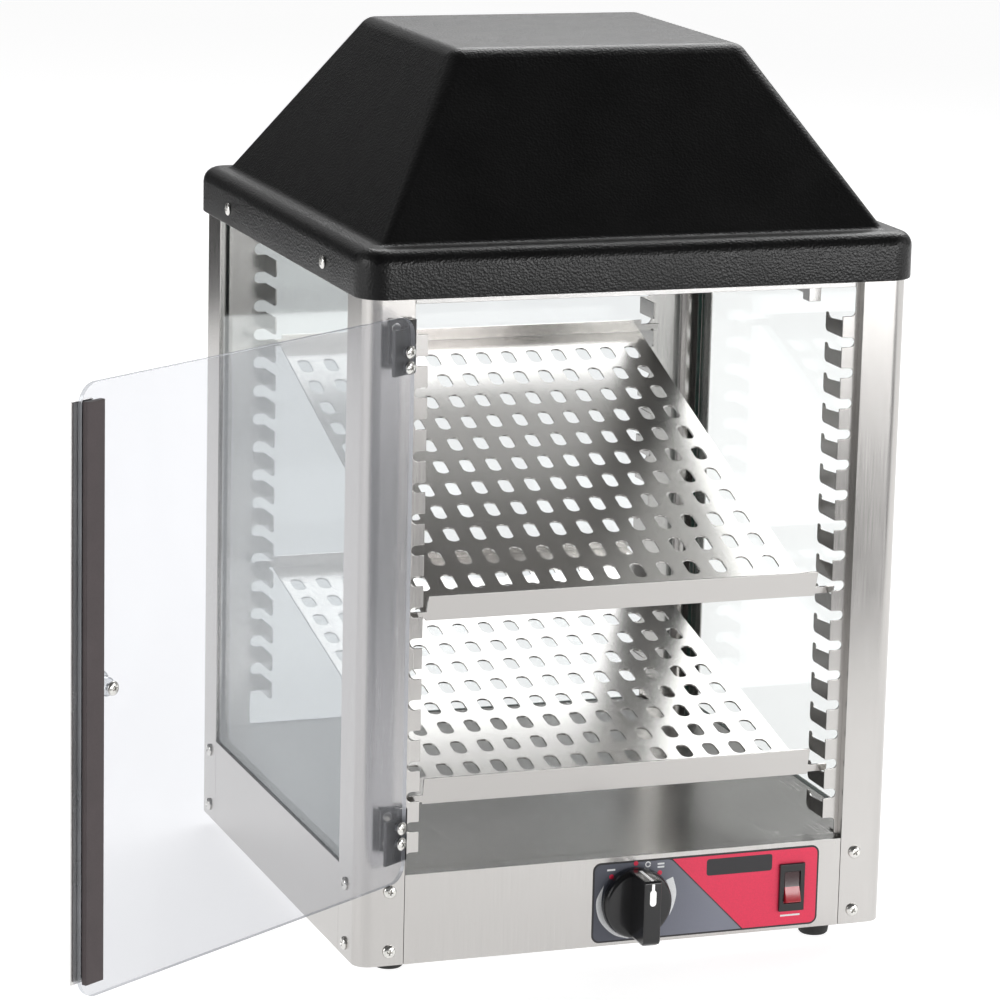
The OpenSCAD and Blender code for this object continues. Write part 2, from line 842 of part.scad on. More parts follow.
// A round tube swept along points, as one closed solid with flat ends
module tube(points, r, sides = 8) {
    n = len(points);
    function unit(v) = v / norm(v);
    function heading(i) = unit(points[min(i + 1, n - 1)] - points[max(i - 1, 0)]);
    function across(h) = unit(cross(h, abs(h[2]) > 0.9 ? [1, 0, 0] : [0, 0, 1]));
    function ring_point(i, j) = let (h = heading(i), u = across(h), v = cross(h, u), a = 360 * j / sides)
        points[i] + r * (cos(a) * u + sin(a) * v);
    verts = [for (i = [0:n - 1], j = [0:sides - 1]) ring_point(i, j)];
    walls = [for (i = [0:n - 2], j = [0:sides - 1]) let (k = (j + 1) % sides)
        [i * sides + j, i * sides + k, (i + 1) * sides + k, (i + 1) * sides + j]];
    first = [for (j = [sides - 1:-1:0]) j];
    last = [for (j = [0:sides - 1]) (n - 1) * sides + j];
    polyhedron(verts, concat(walls, [first, last]));
}

// Points of a gentle route from a to b that first runs back by out, and sags by dip
function route(a, b, out, dip) = [for (i = [0:12]) let (t = i / 12, s = t * t * (3 - 2 * t))
    a + s * (b - a) + [0, out * sin(180 * t) * (1 - t), -dip * sin(180 * t)]];

// Insulated leads between the control, the switch, the element, the thermostat and the block
module wiring() {
    wire_r = 1.3;
    block_y = terminal_y - 9;
    block_z = foot_h + 13.3;
    blade_y = -hd + sheet_t + 36;
    switch_y = -hd + 32;
    cold_y = element_y1 + cold_end_l + 2;
    color([0.85, 0.85, 0.83]) {
        tube(route([knob_x + 9, blade_y, knob_z - 8], [terminal_x - 13, block_y, block_z], 20, 6), wire_r);
        tube(route([-element_x, cold_y, element_z], [knob_x - 9, blade_y, knob_z - 8], 20, 10), wire_r);
        tube(route([switch_x, switch_y, switch_z + 7.5], [terminal_x, block_y, block_z], 14, 6), wire_r);
        tube(route([switch_x, switch_y, switch_z - 7.5], [terminal_x + 13, block_y, block_z], 24, 4), wire_r);
        tube(route([element_x, cold_y, element_z], [5, 70, floor_z - 21.6], 6, 10), wire_r);
    }
}

// Bushing in the rear panel that a power cord passes through
module cord_gland() {
    color(black) difference() {
        union() {
            along_y(gland_x, hd - 9, gland_z, gland_r, 12);
            along_y(gland_x, hd + 0.1, gland_z, gland_r + 3, 3);
            along_y(gland_x, hd + 3.1, gland_z, gland_r - 1, 4);
        }
        along_y(gland_x, hd - 10, gland_z, gland_bore_r, 20);
    }
}

// ---- Door hinges ----

// Knuckle from z0 to z1 round the hinge axis, with a bore of radius r
module knuckle(z0, z1, r) {
    difference() {
        translate([pin_x, pin_y, z0]) cylinder(r = knuckle_r, h = z1 - z0);
        translate([pin_x, pin_y, z0 - eps]) cylinder(r = r, h = z1 - z0 + 2 * eps);
    }
}

// Leaf screwed to the post's face; it carries the upper half of the knuckle
module hinge_post_leaf(z) {
    z0 = z + leaf_step;
    split = z + (door_leaf_h + leaf_step) / 2 + 0.2;
    color(black) difference() {
        union() {
            box([pin_x - post_leaf_w, -hd - leaf_t, z0], [pin_x - 3.8, -hd, z0 + post_leaf_h]);
            box([pin_x - 4, -hd - leaf_t - 1, split], [pin_x, -hd - 0.6, z0 + post_leaf_h]);
            translate([pin_x, pin_y, split]) cylinder(r = knuckle_r, h = z0 + post_leaf_h - split);
        }
        translate([pin_x, pin_y, split - eps]) cylinder(r = pin_r + 0.02, h = post_leaf_h);
        for (s = [leaf_screw_z, post_leaf_h - leaf_screw_z]) {
            along_y(leaf_screw_x, -hd - leaf_t - eps, z0 + s, 1.6, 4);
        }
    }
}

// Leaf screwed to the door's outer face; it carries the lower half of the knuckle
module hinge_door_leaf(z, screw_zs) {
    split = z + (door_leaf_h + leaf_step) / 2 - 0.2;
    color(black) opened() difference() {
        union() {
            box([pin_x + 3.8, door_face_y - leaf_t, z], [pin_x + 19, door_face_y, z + door_leaf_h]);
            box([pin_x, door_face_y - leaf_t - 0.8, z], [pin_x + 4.2, door_face_y - 0.4, split]);
            translate([pin_x, pin_y, z]) cylinder(r = knuckle_r, h = split - z);
        }
        translate([pin_x, pin_y, z - eps]) cylinder(r = pin_r + pin_gap, h = split - z + 2 * eps);
        for (s = screw_zs) {
            along_y(door_screw_x, door_face_y - leaf_t - eps, z + s, shank_r + shank_gap, 4);
        }
    }
}

module hinge_post_leaf_upper() { hinge_post_leaf(upper_hinge_z); }
module hinge_post_leaf_lower() { hinge_post_leaf(lower_hinge_z); }
module hinge_door_leaf_upper() { hinge_door_leaf(upper_hinge_z, upper_screw_zs); }
module hinge_door_leaf_lower() { hinge_door_leaf(lower_hinge_z, lower_screw_zs); }

module hinge_pin(z) {
    color(bright) translate([pin_x, pin_y, z - 0.6]) {
        cylinder(r = pin_r, h = door_leaf_h + leaf_step - 0.5);
        cylinder(r = 2.6, h = 0.5);
    }
}

module hinge_pin_upper() { hinge_pin(upper_hinge_z); }
module hinge_pin_lower() { hinge_pin(lower_hinge_z); }

// Small flat screws through the post leaves
module hinge_post_screws() {
    head_h = 0.9;
    color(bright) for (z = [upper_hinge_z, lower_hinge_z], s = [leaf_screw_z, post_leaf_h - leaf_screw_z]) {
        along_y(leaf_screw_x, -hd - leaf_t - head_h, z + leaf_step + s, 2.8, head_h);
        along_y(leaf_screw_x, -hd - leaf_t - 0.1, z + leaf_step + s, 1.5, leaf_t);
    }
}

// Screws through the pane into the door leaves, heads on the inner face
module hinge_door_screws() {
    color(bright) opened() {
        for (z = door_screw_zs) {
            translate([door_screw_x, door_face_y + door_t, z]) rotate([-90, 0, 0]) pan_screw(door_t + 1.8);
        }
    }
}

// ---- Door ----

module door_pane() {
    color(clear) opened() difference() {
        translate([0, door_face_y + door_t, door_bottom + door_h / 2]) rotate([90, 0, 0]) {
            linear_extrude(door_t) rounded_rect(door_w, door_h, door_r);
        }
        for (z = door_screw_zs) {
            along_y(door_screw_x, door_face_y - eps, z, shank_r + shank_gap, door_t + 2 * eps);
        }
        along_y(handle_x, door_face_y - eps, handle_z, shank_r + shank_gap, door_t + 2 * eps);
    }
}

// Magnet strip on the inner face, which meets the rail's face when the door is shut
module door_magnet() {
    color([0.2, 0.15, 0.15]) opened() {
        box([door_w / 2 - 0.6 - magnet_w, door_face_y + door_t, door_bottom + strip_inset],
            [door_w / 2 - 0.6, door_face_y + door_t + magnet_t, door_bottom + door_h - strip_inset]);
    }
}

// Metal strip on the outer face, which laps over the post
module door_edge_strip() {
    color(bright) opened() {
        box([door_w / 2 - 12, door_face_y - sheet_t, door_bottom + strip_inset],
            [door_w / 2 + edge_strip_over, door_face_y, door_bottom + door_h - strip_inset]);
    }
}

module door_knob() {
    color(clear) opened() difference() {
        translate([handle_x, door_face_y, handle_z]) rotate([90, 0, 0]) {
            cylinder(r = 5.5, h = 5);
            translate([0, 0, 4.5]) cylinder(r1 = 6.5, r2 = 8.5, h = 4);
            translate([0, 0, 8.5]) cylinder(r1 = 8.5, r2 = 7, h = 5);
        }
        along_y(handle_x, door_face_y - 9, handle_z, shank_r + 0.02, 10);
    }
}

module door_knob_screw() {
    color(bright) opened() {
        translate([handle_x, door_face_y + door_t, handle_z]) {
            rotate([-90, 0, 0]) rotate(30) pan_screw(door_t + 8);
        }
    }
}

// ---- Shelves ----

// Height of the sloping seat under a front tab, and of the slot's floor under a rear tab
tab_fall = seat_fall * (shelf_front_y + rail_front_y) / (rail_side_l - horn_l);
function seat_z(slot) = front_slot_z + slot * slot_pitch - slot_h / 2 - seat_dip - tab_fall + seat_gap;
function rear_rest_z(slot) = rear_slot_z + slot * slot_pitch - rear_slot_h / 2 + seat_gap;

// Slope that puts the front tabs on one seat and the rear tabs on one slot's floor
function shelf_slope(front, rear) =
    let (run = shelf_l - shelf_t, step = rear_tab_z - front_tab_z)
    asin((rear_rest_z(rear) - seat_z(front)) / norm([run, step])) - atan2(step, run);

// A shelf in its own plane: the plate, a lip along each end and a tab at each corner
module shelf_sheet() {
    half = shelf_w / 2;
    first_x = holes_x - (holes_in_row - 1) / 2 * hole_pitch;
    difference() {
        box([-half, 0, 0], [half, shelf_l, shelf_t]);
        for (i = [0:holes_in_row - 1], j = [0:row_count - 1]) {
            translate([first_x + i * hole_pitch, first_row + j * row_pitch, -eps]) shelf_hole();
        }
    }
    box([-half, 0, 0], [half, shelf_t, front_lip_h]);
    box([-half, shelf_l - shelf_t, 0], [half, shelf_l, rear_lip_h]);
    box([-half - tab_reach, 0, front_tab_z], [half + tab_reach, shelf_t, front_tab_z + tab_h]);
    box([-half - tab_reach, shelf_l - shelf_t, rear_tab_z],
        [half + tab_reach, shelf_l, rear_tab_z + tab_h]);
}

module shelf_hole() {
    h = shelf_t + 2 * eps;
    straight = hole_l - hole_w;
    translate([-hole_w / 2, -straight / 2, 0]) cube([hole_w, straight, h]);
    for (s = [-1, 1]) {
        translate([0, s * straight / 2, 0]) cylinder(r = hole_w / 2, h = h, $fn = 24);
    }
}

module placed_shelf(front, rear) {
    slope = shelf_slope(front, rear);
    translate([shelf_x, shelf_front_y, seat_z(front) - front_tab_z * cos(slope)]) {
        rotate([slope, 0, 0]) shelf_sheet();
    }
}

module shelf_upper() { color(steel) placed_shelf(upper_front_slot, upper_front_slot + 5); }
module shelf_lower() { color(steel) placed_shelf(lower_front_slot, lower_front_slot + 3); }

foot_front_left();
foot_front_right();
foot_rear_left();
foot_rear_right();
foot_screws();
base_pan();
front_panel();
left_base_panel();
right_base_panel();
rear_base_panel();
floor_pan();
post_front_left();
post_front_right();
post_rear_left();
post_rear_right();
post_screws();
base_screws();
left_glass();
right_glass();
back_glass();
rail_front_left();
rail_front_right();
rail_rear_left();
rail_rear_right();
top_liner();
sensor_bracket();
hood();
hood_screws();
control_label();
infinite_control();
control_nut();
switch_bezel();
switch_body();
heating_element();
element_clamps();
limit_thermostat();
terminal_block();
wiring();
cord_gland();
hinge_post_leaf_upper();
hinge_post_leaf_lower();
hinge_pin_upper();
hinge_pin_lower();
hinge_post_screws();
hinge_door_leaf_upper();
hinge_door_leaf_lower();
hinge_door_screws();
door_pane();
door_magnet();
door_edge_strip();
door_knob();
door_knob_screw();
control_knob();
knob_pointer();
control_shaft();
rocker();
shelf_upper();
shelf_lower();
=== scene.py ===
"""Looks of the hot food display case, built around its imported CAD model.

Metres, +Z up, the front faces -Y. Sizes marked MM are millimetres. Every visible sheet, shell
and fastener gets its own finished mesh; the CAD nodes that stay are the ones inside the base.
"""

import json
import math
import random

import bmesh
import bpy
from mathutils import Matrix, Vector


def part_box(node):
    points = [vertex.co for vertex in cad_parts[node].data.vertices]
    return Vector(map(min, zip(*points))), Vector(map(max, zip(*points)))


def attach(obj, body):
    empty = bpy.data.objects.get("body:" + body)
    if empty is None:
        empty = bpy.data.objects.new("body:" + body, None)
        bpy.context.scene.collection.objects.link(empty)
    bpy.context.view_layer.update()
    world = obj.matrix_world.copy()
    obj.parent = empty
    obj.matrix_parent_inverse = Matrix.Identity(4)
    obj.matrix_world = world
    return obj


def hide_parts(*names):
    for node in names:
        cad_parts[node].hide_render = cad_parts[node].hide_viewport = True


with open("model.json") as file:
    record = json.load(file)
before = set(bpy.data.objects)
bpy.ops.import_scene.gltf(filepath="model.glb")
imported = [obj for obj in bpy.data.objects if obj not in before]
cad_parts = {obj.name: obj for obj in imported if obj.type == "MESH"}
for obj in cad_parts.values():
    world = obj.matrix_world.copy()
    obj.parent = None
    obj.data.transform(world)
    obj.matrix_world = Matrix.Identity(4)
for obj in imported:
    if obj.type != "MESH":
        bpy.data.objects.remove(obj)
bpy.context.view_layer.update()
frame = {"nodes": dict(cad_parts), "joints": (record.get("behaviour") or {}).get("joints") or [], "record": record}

MM = 0.001
BODY_OF = {n: body for body, nodes in frame["record"]["behaviour"]["bodies"].items() for n in nodes}
SLOT_OF = {part["node"]: part["material_slot"] for part in frame["record"]["subparts"]}
JOINT = {joint["name"]: joint for joint in frame["joints"]}


# ---------------------------------------------------------------- camera, lights, floor

CAMERA_PLACE = (-0.9180, -2.4816, 0.8464)
CAMERA_AZIMUTH, CAMERA_ELEVATION, CAMERA_ROLL = -19.7857, 12.7695, 1.3647
CAMERA_LENS, CAMERA_SENSOR = 155.63, 36
FLAG_RISE = 0.004


def camera():
    """A long lens from the front left, a little above the case, turned by a slight roll."""
    azimuth, elevation = math.radians(CAMERA_AZIMUTH), math.radians(CAMERA_ELEVATION)
    right = Vector((math.cos(azimuth), math.sin(azimuth), 0))
    back = Vector((math.sin(azimuth) * math.cos(elevation),
                   -math.cos(azimuth) * math.cos(elevation), math.sin(elevation)))
    up = back.cross(right)
    turn = Matrix.Rotation(math.radians(CAMERA_ROLL), 3, back)
    data = bpy.data.cameras.new("camera")
    data.lens = CAMERA_LENS
    data.sensor_width = CAMERA_SENSOR
    data.clip_end = 60
    obj = bpy.data.objects.new("camera", data)
    axes = Matrix((turn @ right, turn @ up, back)).transposed()
    obj.matrix_world = Matrix.Translation(CAMERA_PLACE) @ axes.to_4x4()
    bpy.context.scene.collection.objects.link(obj)
    bpy.context.scene.camera = obj


def area_light(name, place, aim, size, power):
    """A soft panel of light at place, turned to aim; size is its width and height."""
    data = bpy.data.lights.new(name, "AREA")
    data.shape = "RECTANGLE"
    data.size, data.size_y = size
    data.energy = power
    obj = bpy.data.objects.new(name, data)
    obj.location = place
    obj.rotation_euler = (Vector(aim) - Vector(place)).to_track_quat("-Z", "Y").to_euler()
    bpy.context.scene.collection.objects.link(obj)


def map_range(tree, value, start, end, low, high):
    """A node that turns value from start to end into low to high."""
    node = tree.nodes.new("ShaderNodeMapRange")
    for name, number in zip(("From Min", "From Max", "To Min", "To Max"), (start, end, low, high)):
        node.inputs[name].default_value = number
    tree.links.new(value, node.inputs["Value"])
    return node


def studio():
    """A sky that is bright behind the case and fades to dark above it, and four soft panels."""
    world = bpy.data.worlds.new("studio")
    bpy.context.scene.world = world
    world.use_nodes = True
    tree = world.node_tree
    shade = tree.nodes["Background"]
    coord = tree.nodes.new("ShaderNodeTexCoord")
    lean = tree.nodes.new("ShaderNodeVectorMath")
    lean.operation = "DOT_PRODUCT"
    lean.inputs[1].default_value = (0.25, 1.0, -1.0)
    tree.links.new(coord.outputs["Generated"], lean.inputs[0])
    ramp = map_range(tree, lean.outputs["Value"], -1.25, 0.15, 0.10, 0.42)
    ramp.interpolation_type = "SMOOTHSTEP"
    tree.links.new(ramp.outputs[0], shade.inputs["Color"])
    shade.inputs["Strength"].default_value = 1.0
    area_light("overhead", (1.1, 1.5, 2.2), (0, 0.1, 0.2), (2.2, 2.0), 56)
    area_light("key_left", (-2.8, -0.4, 1.1), (0, 0, 0.3), (1.6, 1.4), 26)
    area_light("fill_right", (2.4, -1.6, 1.0), (0, 0, 0.25), (1.2, 1.4), 14)
    area_light("front_low", (1.5, -3.2, 0.5), (0, -0.17, 0.43), (1.4, 0.7), 34)
    bpy.context.scene.view_settings.view_transform = "Standard"


def flag(name, corners):
    """A dark cloth near the case: only its mirror image in the steel and glass is seen."""
    bm = bmesh.new()
    bm.faces.new([bm.verts.new(p) for p in corners])
    obj = new_object(name, bm)
    obj.data.materials.append(CLOTH)
    obj.visible_camera = False
    obj.visible_diffuse = False
    obj.visible_transmission = False
    obj.visible_shadow = False


def floor():
    """The pale studio floor, far wider than the picture."""
    mesh = bpy.data.meshes.new("floor")
    bm = bmesh.new()
    bmesh.ops.create_grid(bm, x_segments=8, y_segments=8, size=14)
    bm.to_mesh(mesh)
    bm.free()
    obj = bpy.data.objects.new("floor", mesh)
    bpy.context.scene.collection.objects.link(obj)
    mesh.materials.append(FLOOR)


# ---------------------------------------------------------------- materials

class Nodes:
    """A material with a Principled shader, and short calls for the nodes that feed it."""

    def __init__(self, name):
        self.material = bpy.data.materials.new(name)
        self.material.use_nodes = True
        self.tree = self.material.node_tree
        self.shader = self.tree.nodes["Principled BSDF"]
        self.output = self.tree.nodes["Material Output"]
        self.place = self.tree.nodes.new("ShaderNodeTexCoord").outputs["Object"]

    def set(self, **values):
        """Constants on the shader's sockets; an underscore stands for a space in the name."""
        for key, value in values.items():
            self.shader.inputs[key.replace("_", " ")].default_value = value

    def link(self, output, name):
        self.tree.links.new(output, self.shader.inputs[name])

    def scaled(self, scale):
        """Object coordinates times scale: the number of pattern units in a metre, by axis."""
        node = self.tree.nodes.new("ShaderNodeMapping")
        node.inputs["Scale"].default_value = scale
        self.tree.links.new(self.place, node.inputs["Vector"])
        return node.outputs[0]

    def noise(self, scale, detail=3.0, rough=0.55, distortion=0.0):
        node = self.tree.nodes.new("ShaderNodeTexNoise")
        node.inputs["Scale"].default_value = 1.0
        node.inputs["Detail"].default_value = detail
        node.inputs["Roughness"].default_value = rough
        node.inputs["Distortion"].default_value = distortion
        self.tree.links.new(self.scaled(scale), node.inputs["Vector"])
        return node.outputs["Fac"]

    def voronoi(self, scale, smooth=0.6):
        node = self.tree.nodes.new("ShaderNodeTexVoronoi")
        node.feature = "SMOOTH_F1"
        node.inputs["Scale"].default_value = 1.0
        node.inputs["Smoothness"].default_value = smooth
        self.tree.links.new(self.scaled(scale), node.inputs["Vector"])
        return node.outputs["Distance"]

    def span(self, value, low, high, start=0.3, end=0.7):
        """value from start to end, turned into low to high."""
        return map_range(self.tree, value, start, end, low, high).outputs[0]

    def math(self, kind, a, b):
        node = self.tree.nodes.new("ShaderNodeMath")
        node.operation = kind
        for socket, value in zip(node.inputs, (a, b)):
            if isinstance(value, (int, float)):
                socket.default_value = value
            else:
                self.tree.links.new(value, socket)
        return node.outputs[0]

    def mixed(self, factor, first, second):
        node = self.tree.nodes.new("ShaderNodeMix")
        node.data_type = "RGBA"
        self.tree.links.new(factor, node.inputs["Factor"])
        node.inputs["A"].default_value = (*first, 1)
        node.inputs["B"].default_value = (*second, 1)
        return node.outputs["Result"]

    def bump(self, height, distance, strength=1.0, under=None):
        node = self.tree.nodes.new("ShaderNodeBump")
        node.inputs["Distance"].default_value = distance
        node.inputs["Strength"].default_value = strength
        self.tree.links.new(height, node.inputs["Height"])
        if under is not None:
            self.tree.links.new(under, node.inputs["Normal"])
        return node.outputs[0]


# Pattern units in a metre by axis: few along the grain, many across it.
GRAIN_SCALE = {"X": (25, 2600, 2600), "Y": (2600, 25, 2600), "Z": (2600, 2600, 25)}


def brushed_steel(name, grain, bright=(0.57, 0.555, 0.54), dull=(0.52, 0.505, 0.49), rough=(0.19, 0.25)):
    """Brushed stainless sheet: very fine streaks along one axis, soft hand marks over them."""
    n = Nodes(name)
    n.set(Metallic=1.0)
    streaks = n.noise(GRAIN_SCALE[grain], detail=2, rough=0.5)
    marks = n.noise((9, 9, 6), detail=3, distortion=0.4)
    n.link(n.mixed(n.span(streaks, 0, 1, 0.25, 0.75), dull, bright), "Base Color")
    wear = n.span(marks, -0.02, 0.03, 0.35, 0.7)
    n.link(n.math("ADD", n.span(streaks, rough[0], rough[1]), wear), "Roughness")
    n.link(n.bump(streaks, 0.000002, 0.15), "Normal")
    return n.material


def plated(name, colour, rough):
    """Bright zinc plating with a faint mottle."""
    n = Nodes(name)
    n.set(Metallic=1.0)
    mottle = n.noise((700, 700, 700), detail=3)
    n.link(n.mixed(n.span(mottle, 0, 1), [c * 0.82 for c in colour], colour), "Base Color")
    n.link(n.span(mottle, rough * 0.8, rough * 1.35), "Roughness")
    return n.material


def haircell(name):
    """Black thermoformed sheet with a leathery moulded-in grain."""
    n = Nodes(name)
    n.set(IOR=1.5, Specular_IOR_Level=0.35)
    cells = n.voronoi((720, 720, 720), 0.7)
    fine = n.noise((1500, 1500, 1500), detail=3, rough=0.6)
    broad = n.noise((26, 26, 26), detail=2)
    n.link(n.mixed(n.span(fine, 0, 1), (0.0006, 0.0006, 0.0007), (0.002, 0.002, 0.0022)), "Base Color")
    n.link(n.math("ADD", n.span(fine, 0.30, 0.38), n.span(broad, -0.03, 0.04)), "Roughness")
    grain = n.bump(cells, 0.00035, 0.6)
    n.link(n.bump(fine, 0.00014, 0.5, grain), "Normal")
    return n.material


def moulded(name, colour, rough=0.35, grain=0.00003, scale=900, coat=0.0):
    """Moulded plastic with a slight surface grain."""
    n = Nodes(name)
    n.set(IOR=1.5, Coat_Weight=coat, Coat_Roughness=0.06)
    fine = n.noise((scale, scale, scale), detail=3)
    broad = n.noise((60, 60, 60), detail=2)
    n.link(n.mixed(n.span(broad, 0, 1), [c * 0.86 for c in colour], colour), "Base Color")
    n.link(n.span(fine, rough * 0.88, rough * 1.14), "Roughness")
    n.link(n.bump(fine, grain, 0.5), "Normal")
    return n.material


def printed(name, colour, rough=0.42, glow=0.0, left=None):
    """Screen-printed film with a fine satin tooth; left is its colour at the label's left end; glow is white light
    it gives off itself, painted light that lifts a print out of its shade.
    """
    n = Nodes(name)
    n.set(IOR=1.48, Emission_Color=(1, 1, 1, 1), Emission_Strength=glow)
    tooth = n.noise((1300, 1300, 1300), detail=2)
    if left:
        split = n.tree.nodes.new("ShaderNodeSeparateXYZ")
        n.tree.links.new(n.place, split.inputs[0])
        across = n.math("ADD", split.outputs["X"], n.span(tooth, -0.002, 0.002))
        n.link(n.mixed(n.span(across, 0, 1, -0.02, 0.06), left, colour), "Base Color")
    else:
        darker, lighter = [c * 0.93 for c in colour], [min(1, c * 1.04) for c in colour]
        n.link(n.mixed(n.span(tooth, 0, 1), darker, lighter), "Base Color")
    n.link(n.span(tooth, rough * 0.9, rough * 1.12), "Roughness")
    n.link(n.bump(tooth, 0.00001, 0.4), "Normal")
    return n.material


def see_through(name, tint, veil, haze, gloss=1.6, rough=0.02, metallic=1.0):
    """A clear sheet: mostly open, with a mirror surface that grows towards grazing angles.

    tint colours what is seen through it, veil is the colour of its surface, haze is how much of
    the surface shows at any angle, and gloss scales its mirror share."""
    n = Nodes(name)
    tree = n.tree
    n.set(Base_Color=(*veil, 1), IOR=1.5, Metallic=metallic)
    smears = n.noise((18, 18, 7), detail=3, distortion=0.6)
    n.link(n.span(smears, rough, rough + 0.04), "Roughness")
    layer = tree.nodes.new("ShaderNodeLayerWeight")
    layer.inputs["Blend"].default_value = 0.5
    mirror = n.span(n.math("POWER", layer.outputs["Facing"], 5), 0.04 * gloss, gloss, 0.0, 1.0)
    shown = n.math("ADD", mirror, n.span(smears, haze * 0.7, haze * 1.3))
    clear = tree.nodes.new("ShaderNodeBsdfTransparent")
    clear.inputs["Color"].default_value = (*tint, 1)
    mix = tree.nodes.new("ShaderNodeMixShader")
    tree.links.new(n.math("MINIMUM", shown, 1.0), mix.inputs[0])
    tree.links.new(clear.outputs[0], mix.inputs[1])
    tree.links.new(n.shader.outputs[0], mix.inputs[2])
    tree.links.new(mix.outputs[0], n.output.inputs["Surface"])
    return n.material


def glass_edge(name, colour):
    """The ground edge of a sheet, where its own colour collects."""
    n = Nodes(name)
    n.set(IOR=1.5, Coat_Weight=0.5)
    ripple = n.noise((300, 300, 120), detail=3)
    n.link(n.mixed(n.span(ripple, 0, 1), [c * 0.55 for c in colour], colour), "Base Color")
    n.link(n.span(ripple, 0.10, 0.26), "Roughness")
    return n.material


def matte(name, colour, rough, scale=40, glow=0.0):
    """A dull surface with a soft mottle; glow is how much white light it gives off itself."""
    n = Nodes(name)
    n.set(Emission_Color=(1, 1, 1, 1), Emission_Strength=glow)
    broad = n.noise((scale, scale, scale), detail=3)
    n.link(n.mixed(n.span(broad, 0, 1), [c * 0.95 for c in colour], colour), "Base Color")
    n.link(n.span(broad, rough * 0.92, min(1, rough * 1.05)), "Roughness")
    n.link(n.bump(broad, 0.00004, 0.3), "Normal")
    return n.material


STEEL_Y = brushed_steel("steel_brushed_deep", "Y")
STEEL_Z = brushed_steel("steel_brushed_upright", "Z")
BRIGHT = brushed_steel("steel_mill_finish", "X", (0.72, 0.71, 0.70), (0.66, 0.65, 0.64), (0.18, 0.25))
ZINC = plated("zinc_plate", (0.80, 0.79, 0.76), 0.2)
HOOD_BLACK = haircell("abs_haircell_black")
KNOB_BLACK = moulded("knob_black", (0.006, 0.006, 0.007), 0.24, 0.000004, 900, 0.2)
NYLON_BLACK = moulded("nylon_black", (0.012, 0.0115, 0.0125), 0.34, 0.00006, 1200)
RUBBER_BLACK = moulded("rubber_black", (0.012, 0.012, 0.012), 0.7, 0.00012, 1400)
# The pointer line gives off a little white light: painted light on a line that lies in the case's shade.
POINTER_WHITE_PAINTED_GLOW = printed("pointer_white", (0.86, 0.86, 0.84), 0.3, 0.3)
ROCKER_RED = moulded("rocker_red", (0.46, 0.014, 0.028), 0.22, coat=0.15)
# The darker red of the rocker's upper half is painted shade from the bezel, not a second colour of the part.
ROCKER_RED_PAINTED_SHADE = moulded("rocker_red_painted_shade", (0.035, 0.001, 0.003), 0.3, coat=0.05)
MAGNET_BROWN = moulded("magnet_brown", (0.055, 0.040, 0.042), 0.5, 0.00008, 1100)
LABEL_EDGE = printed("label_dark", (0.018, 0.017, 0.020))
LABEL_GREY = printed("label_slate", (0.21, 0.22, 0.27), left=(0.065, 0.070, 0.092))
LABEL_RED = printed("label_red", (0.80, 0.026, 0.088))
LABEL_WHITE = printed("label_white", (0.80, 0.81, 0.82))
LABEL_DOT = printed("label_dot_red", (0.75, 0.02, 0.07))
GLASS = see_through("glass_clear", (0.94, 0.95, 0.948), (0.80, 0.84, 0.84), 0.012, 1.0)
BACK_GLASS = see_through("glass_clear_rear", (0.845, 0.855, 0.858), (0.80, 0.84, 0.84), 0.012, 1.0)
GLASS_EDGE = glass_edge("glass_edge_green", (0.012, 0.060, 0.045))
DOOR_SHEET = see_through("door_sheet_clear", (0.885, 0.888, 0.90), (0.62, 0.63, 0.66), 0.05, 0.7, 0.05, 0.5)
DOOR_EDGE = see_through("door_sheet_edge", (0.86, 0.87, 0.89), (0.62, 0.64, 0.68), 0.42, 0.6, 0.12, 0.2)
CLEAR_KNOB = see_through("door_knob_clear", (0.93, 0.94, 0.95), (0.7, 0.72, 0.75), 0.1, 2.0, 0.03, 0.8)
ELEMENT_DARK = brushed_steel("element_sheath", "X", (0.22, 0.20, 0.19), (0.13, 0.12, 0.12), (0.4, 0.55))
PHENOLIC = moulded("phenolic_brown", (0.06, 0.035, 0.022), 0.4)
STEATITE = matte("steatite", (0.72, 0.69, 0.61), 0.6, 300)
BRAID = matte("glass_braid", (0.75, 0.75, 0.72), 0.8, 1600)
FLOOR = matte("studio_floor", (0.45, 0.45, 0.45), 0.75, 3, 0.84)
CLOTH = matte("studio_cloth", (0.008, 0.008, 0.009), 0.9, 30)

SLOT_MATERIAL = {
    "stainless": STEEL_Z, "bright_sheet": BRIGHT, "fastener": ZINC, "glass": GLASS,
    "door_sheet": DOOR_SHEET, "hood_black": HOOD_BLACK, "rubber": RUBBER_BLACK,
    "label": LABEL_EDGE, "knob_black": KNOB_BLACK, "pointer_white": POINTER_WHITE_PAINTED_GLOW,
    "black_plastic": NYLON_BLACK, "rocker_red": ROCKER_RED, "magnet": MAGNET_BROWN,
    "door_knob": CLEAR_KNOB, "element": ELEMENT_DARK, "control_case": PHENOLIC,
    "terminal": STEATITE, "wire": BRAID,
}


# ---------------------------------------------------------------- mesh helpers

def new_object(name, bm):
    mesh = bpy.data.meshes.new(name)
    bmesh.ops.recalc_face_normals(bm, faces=bm.faces)
    bm.to_mesh(mesh)
    bm.free()
    obj = bpy.data.objects.new(name, mesh)
    bpy.context.scene.collection.objects.link(obj)
    return obj


def add_modifier(obj, kind, **settings):
    modifier = obj.modifiers.new(kind.lower(), kind)
    for key, value in settings.items():
        setattr(modifier, key, value)
    return modifier


def bake_modifiers(obj):
    """Turns the modified shape into the object's own mesh."""
    graph = bpy.context.evaluated_depsgraph_get()
    mesh = bpy.data.meshes.new_from_object(obj.evaluated_get(graph))
    obj.modifiers.clear()
    obj.data = mesh
    return obj


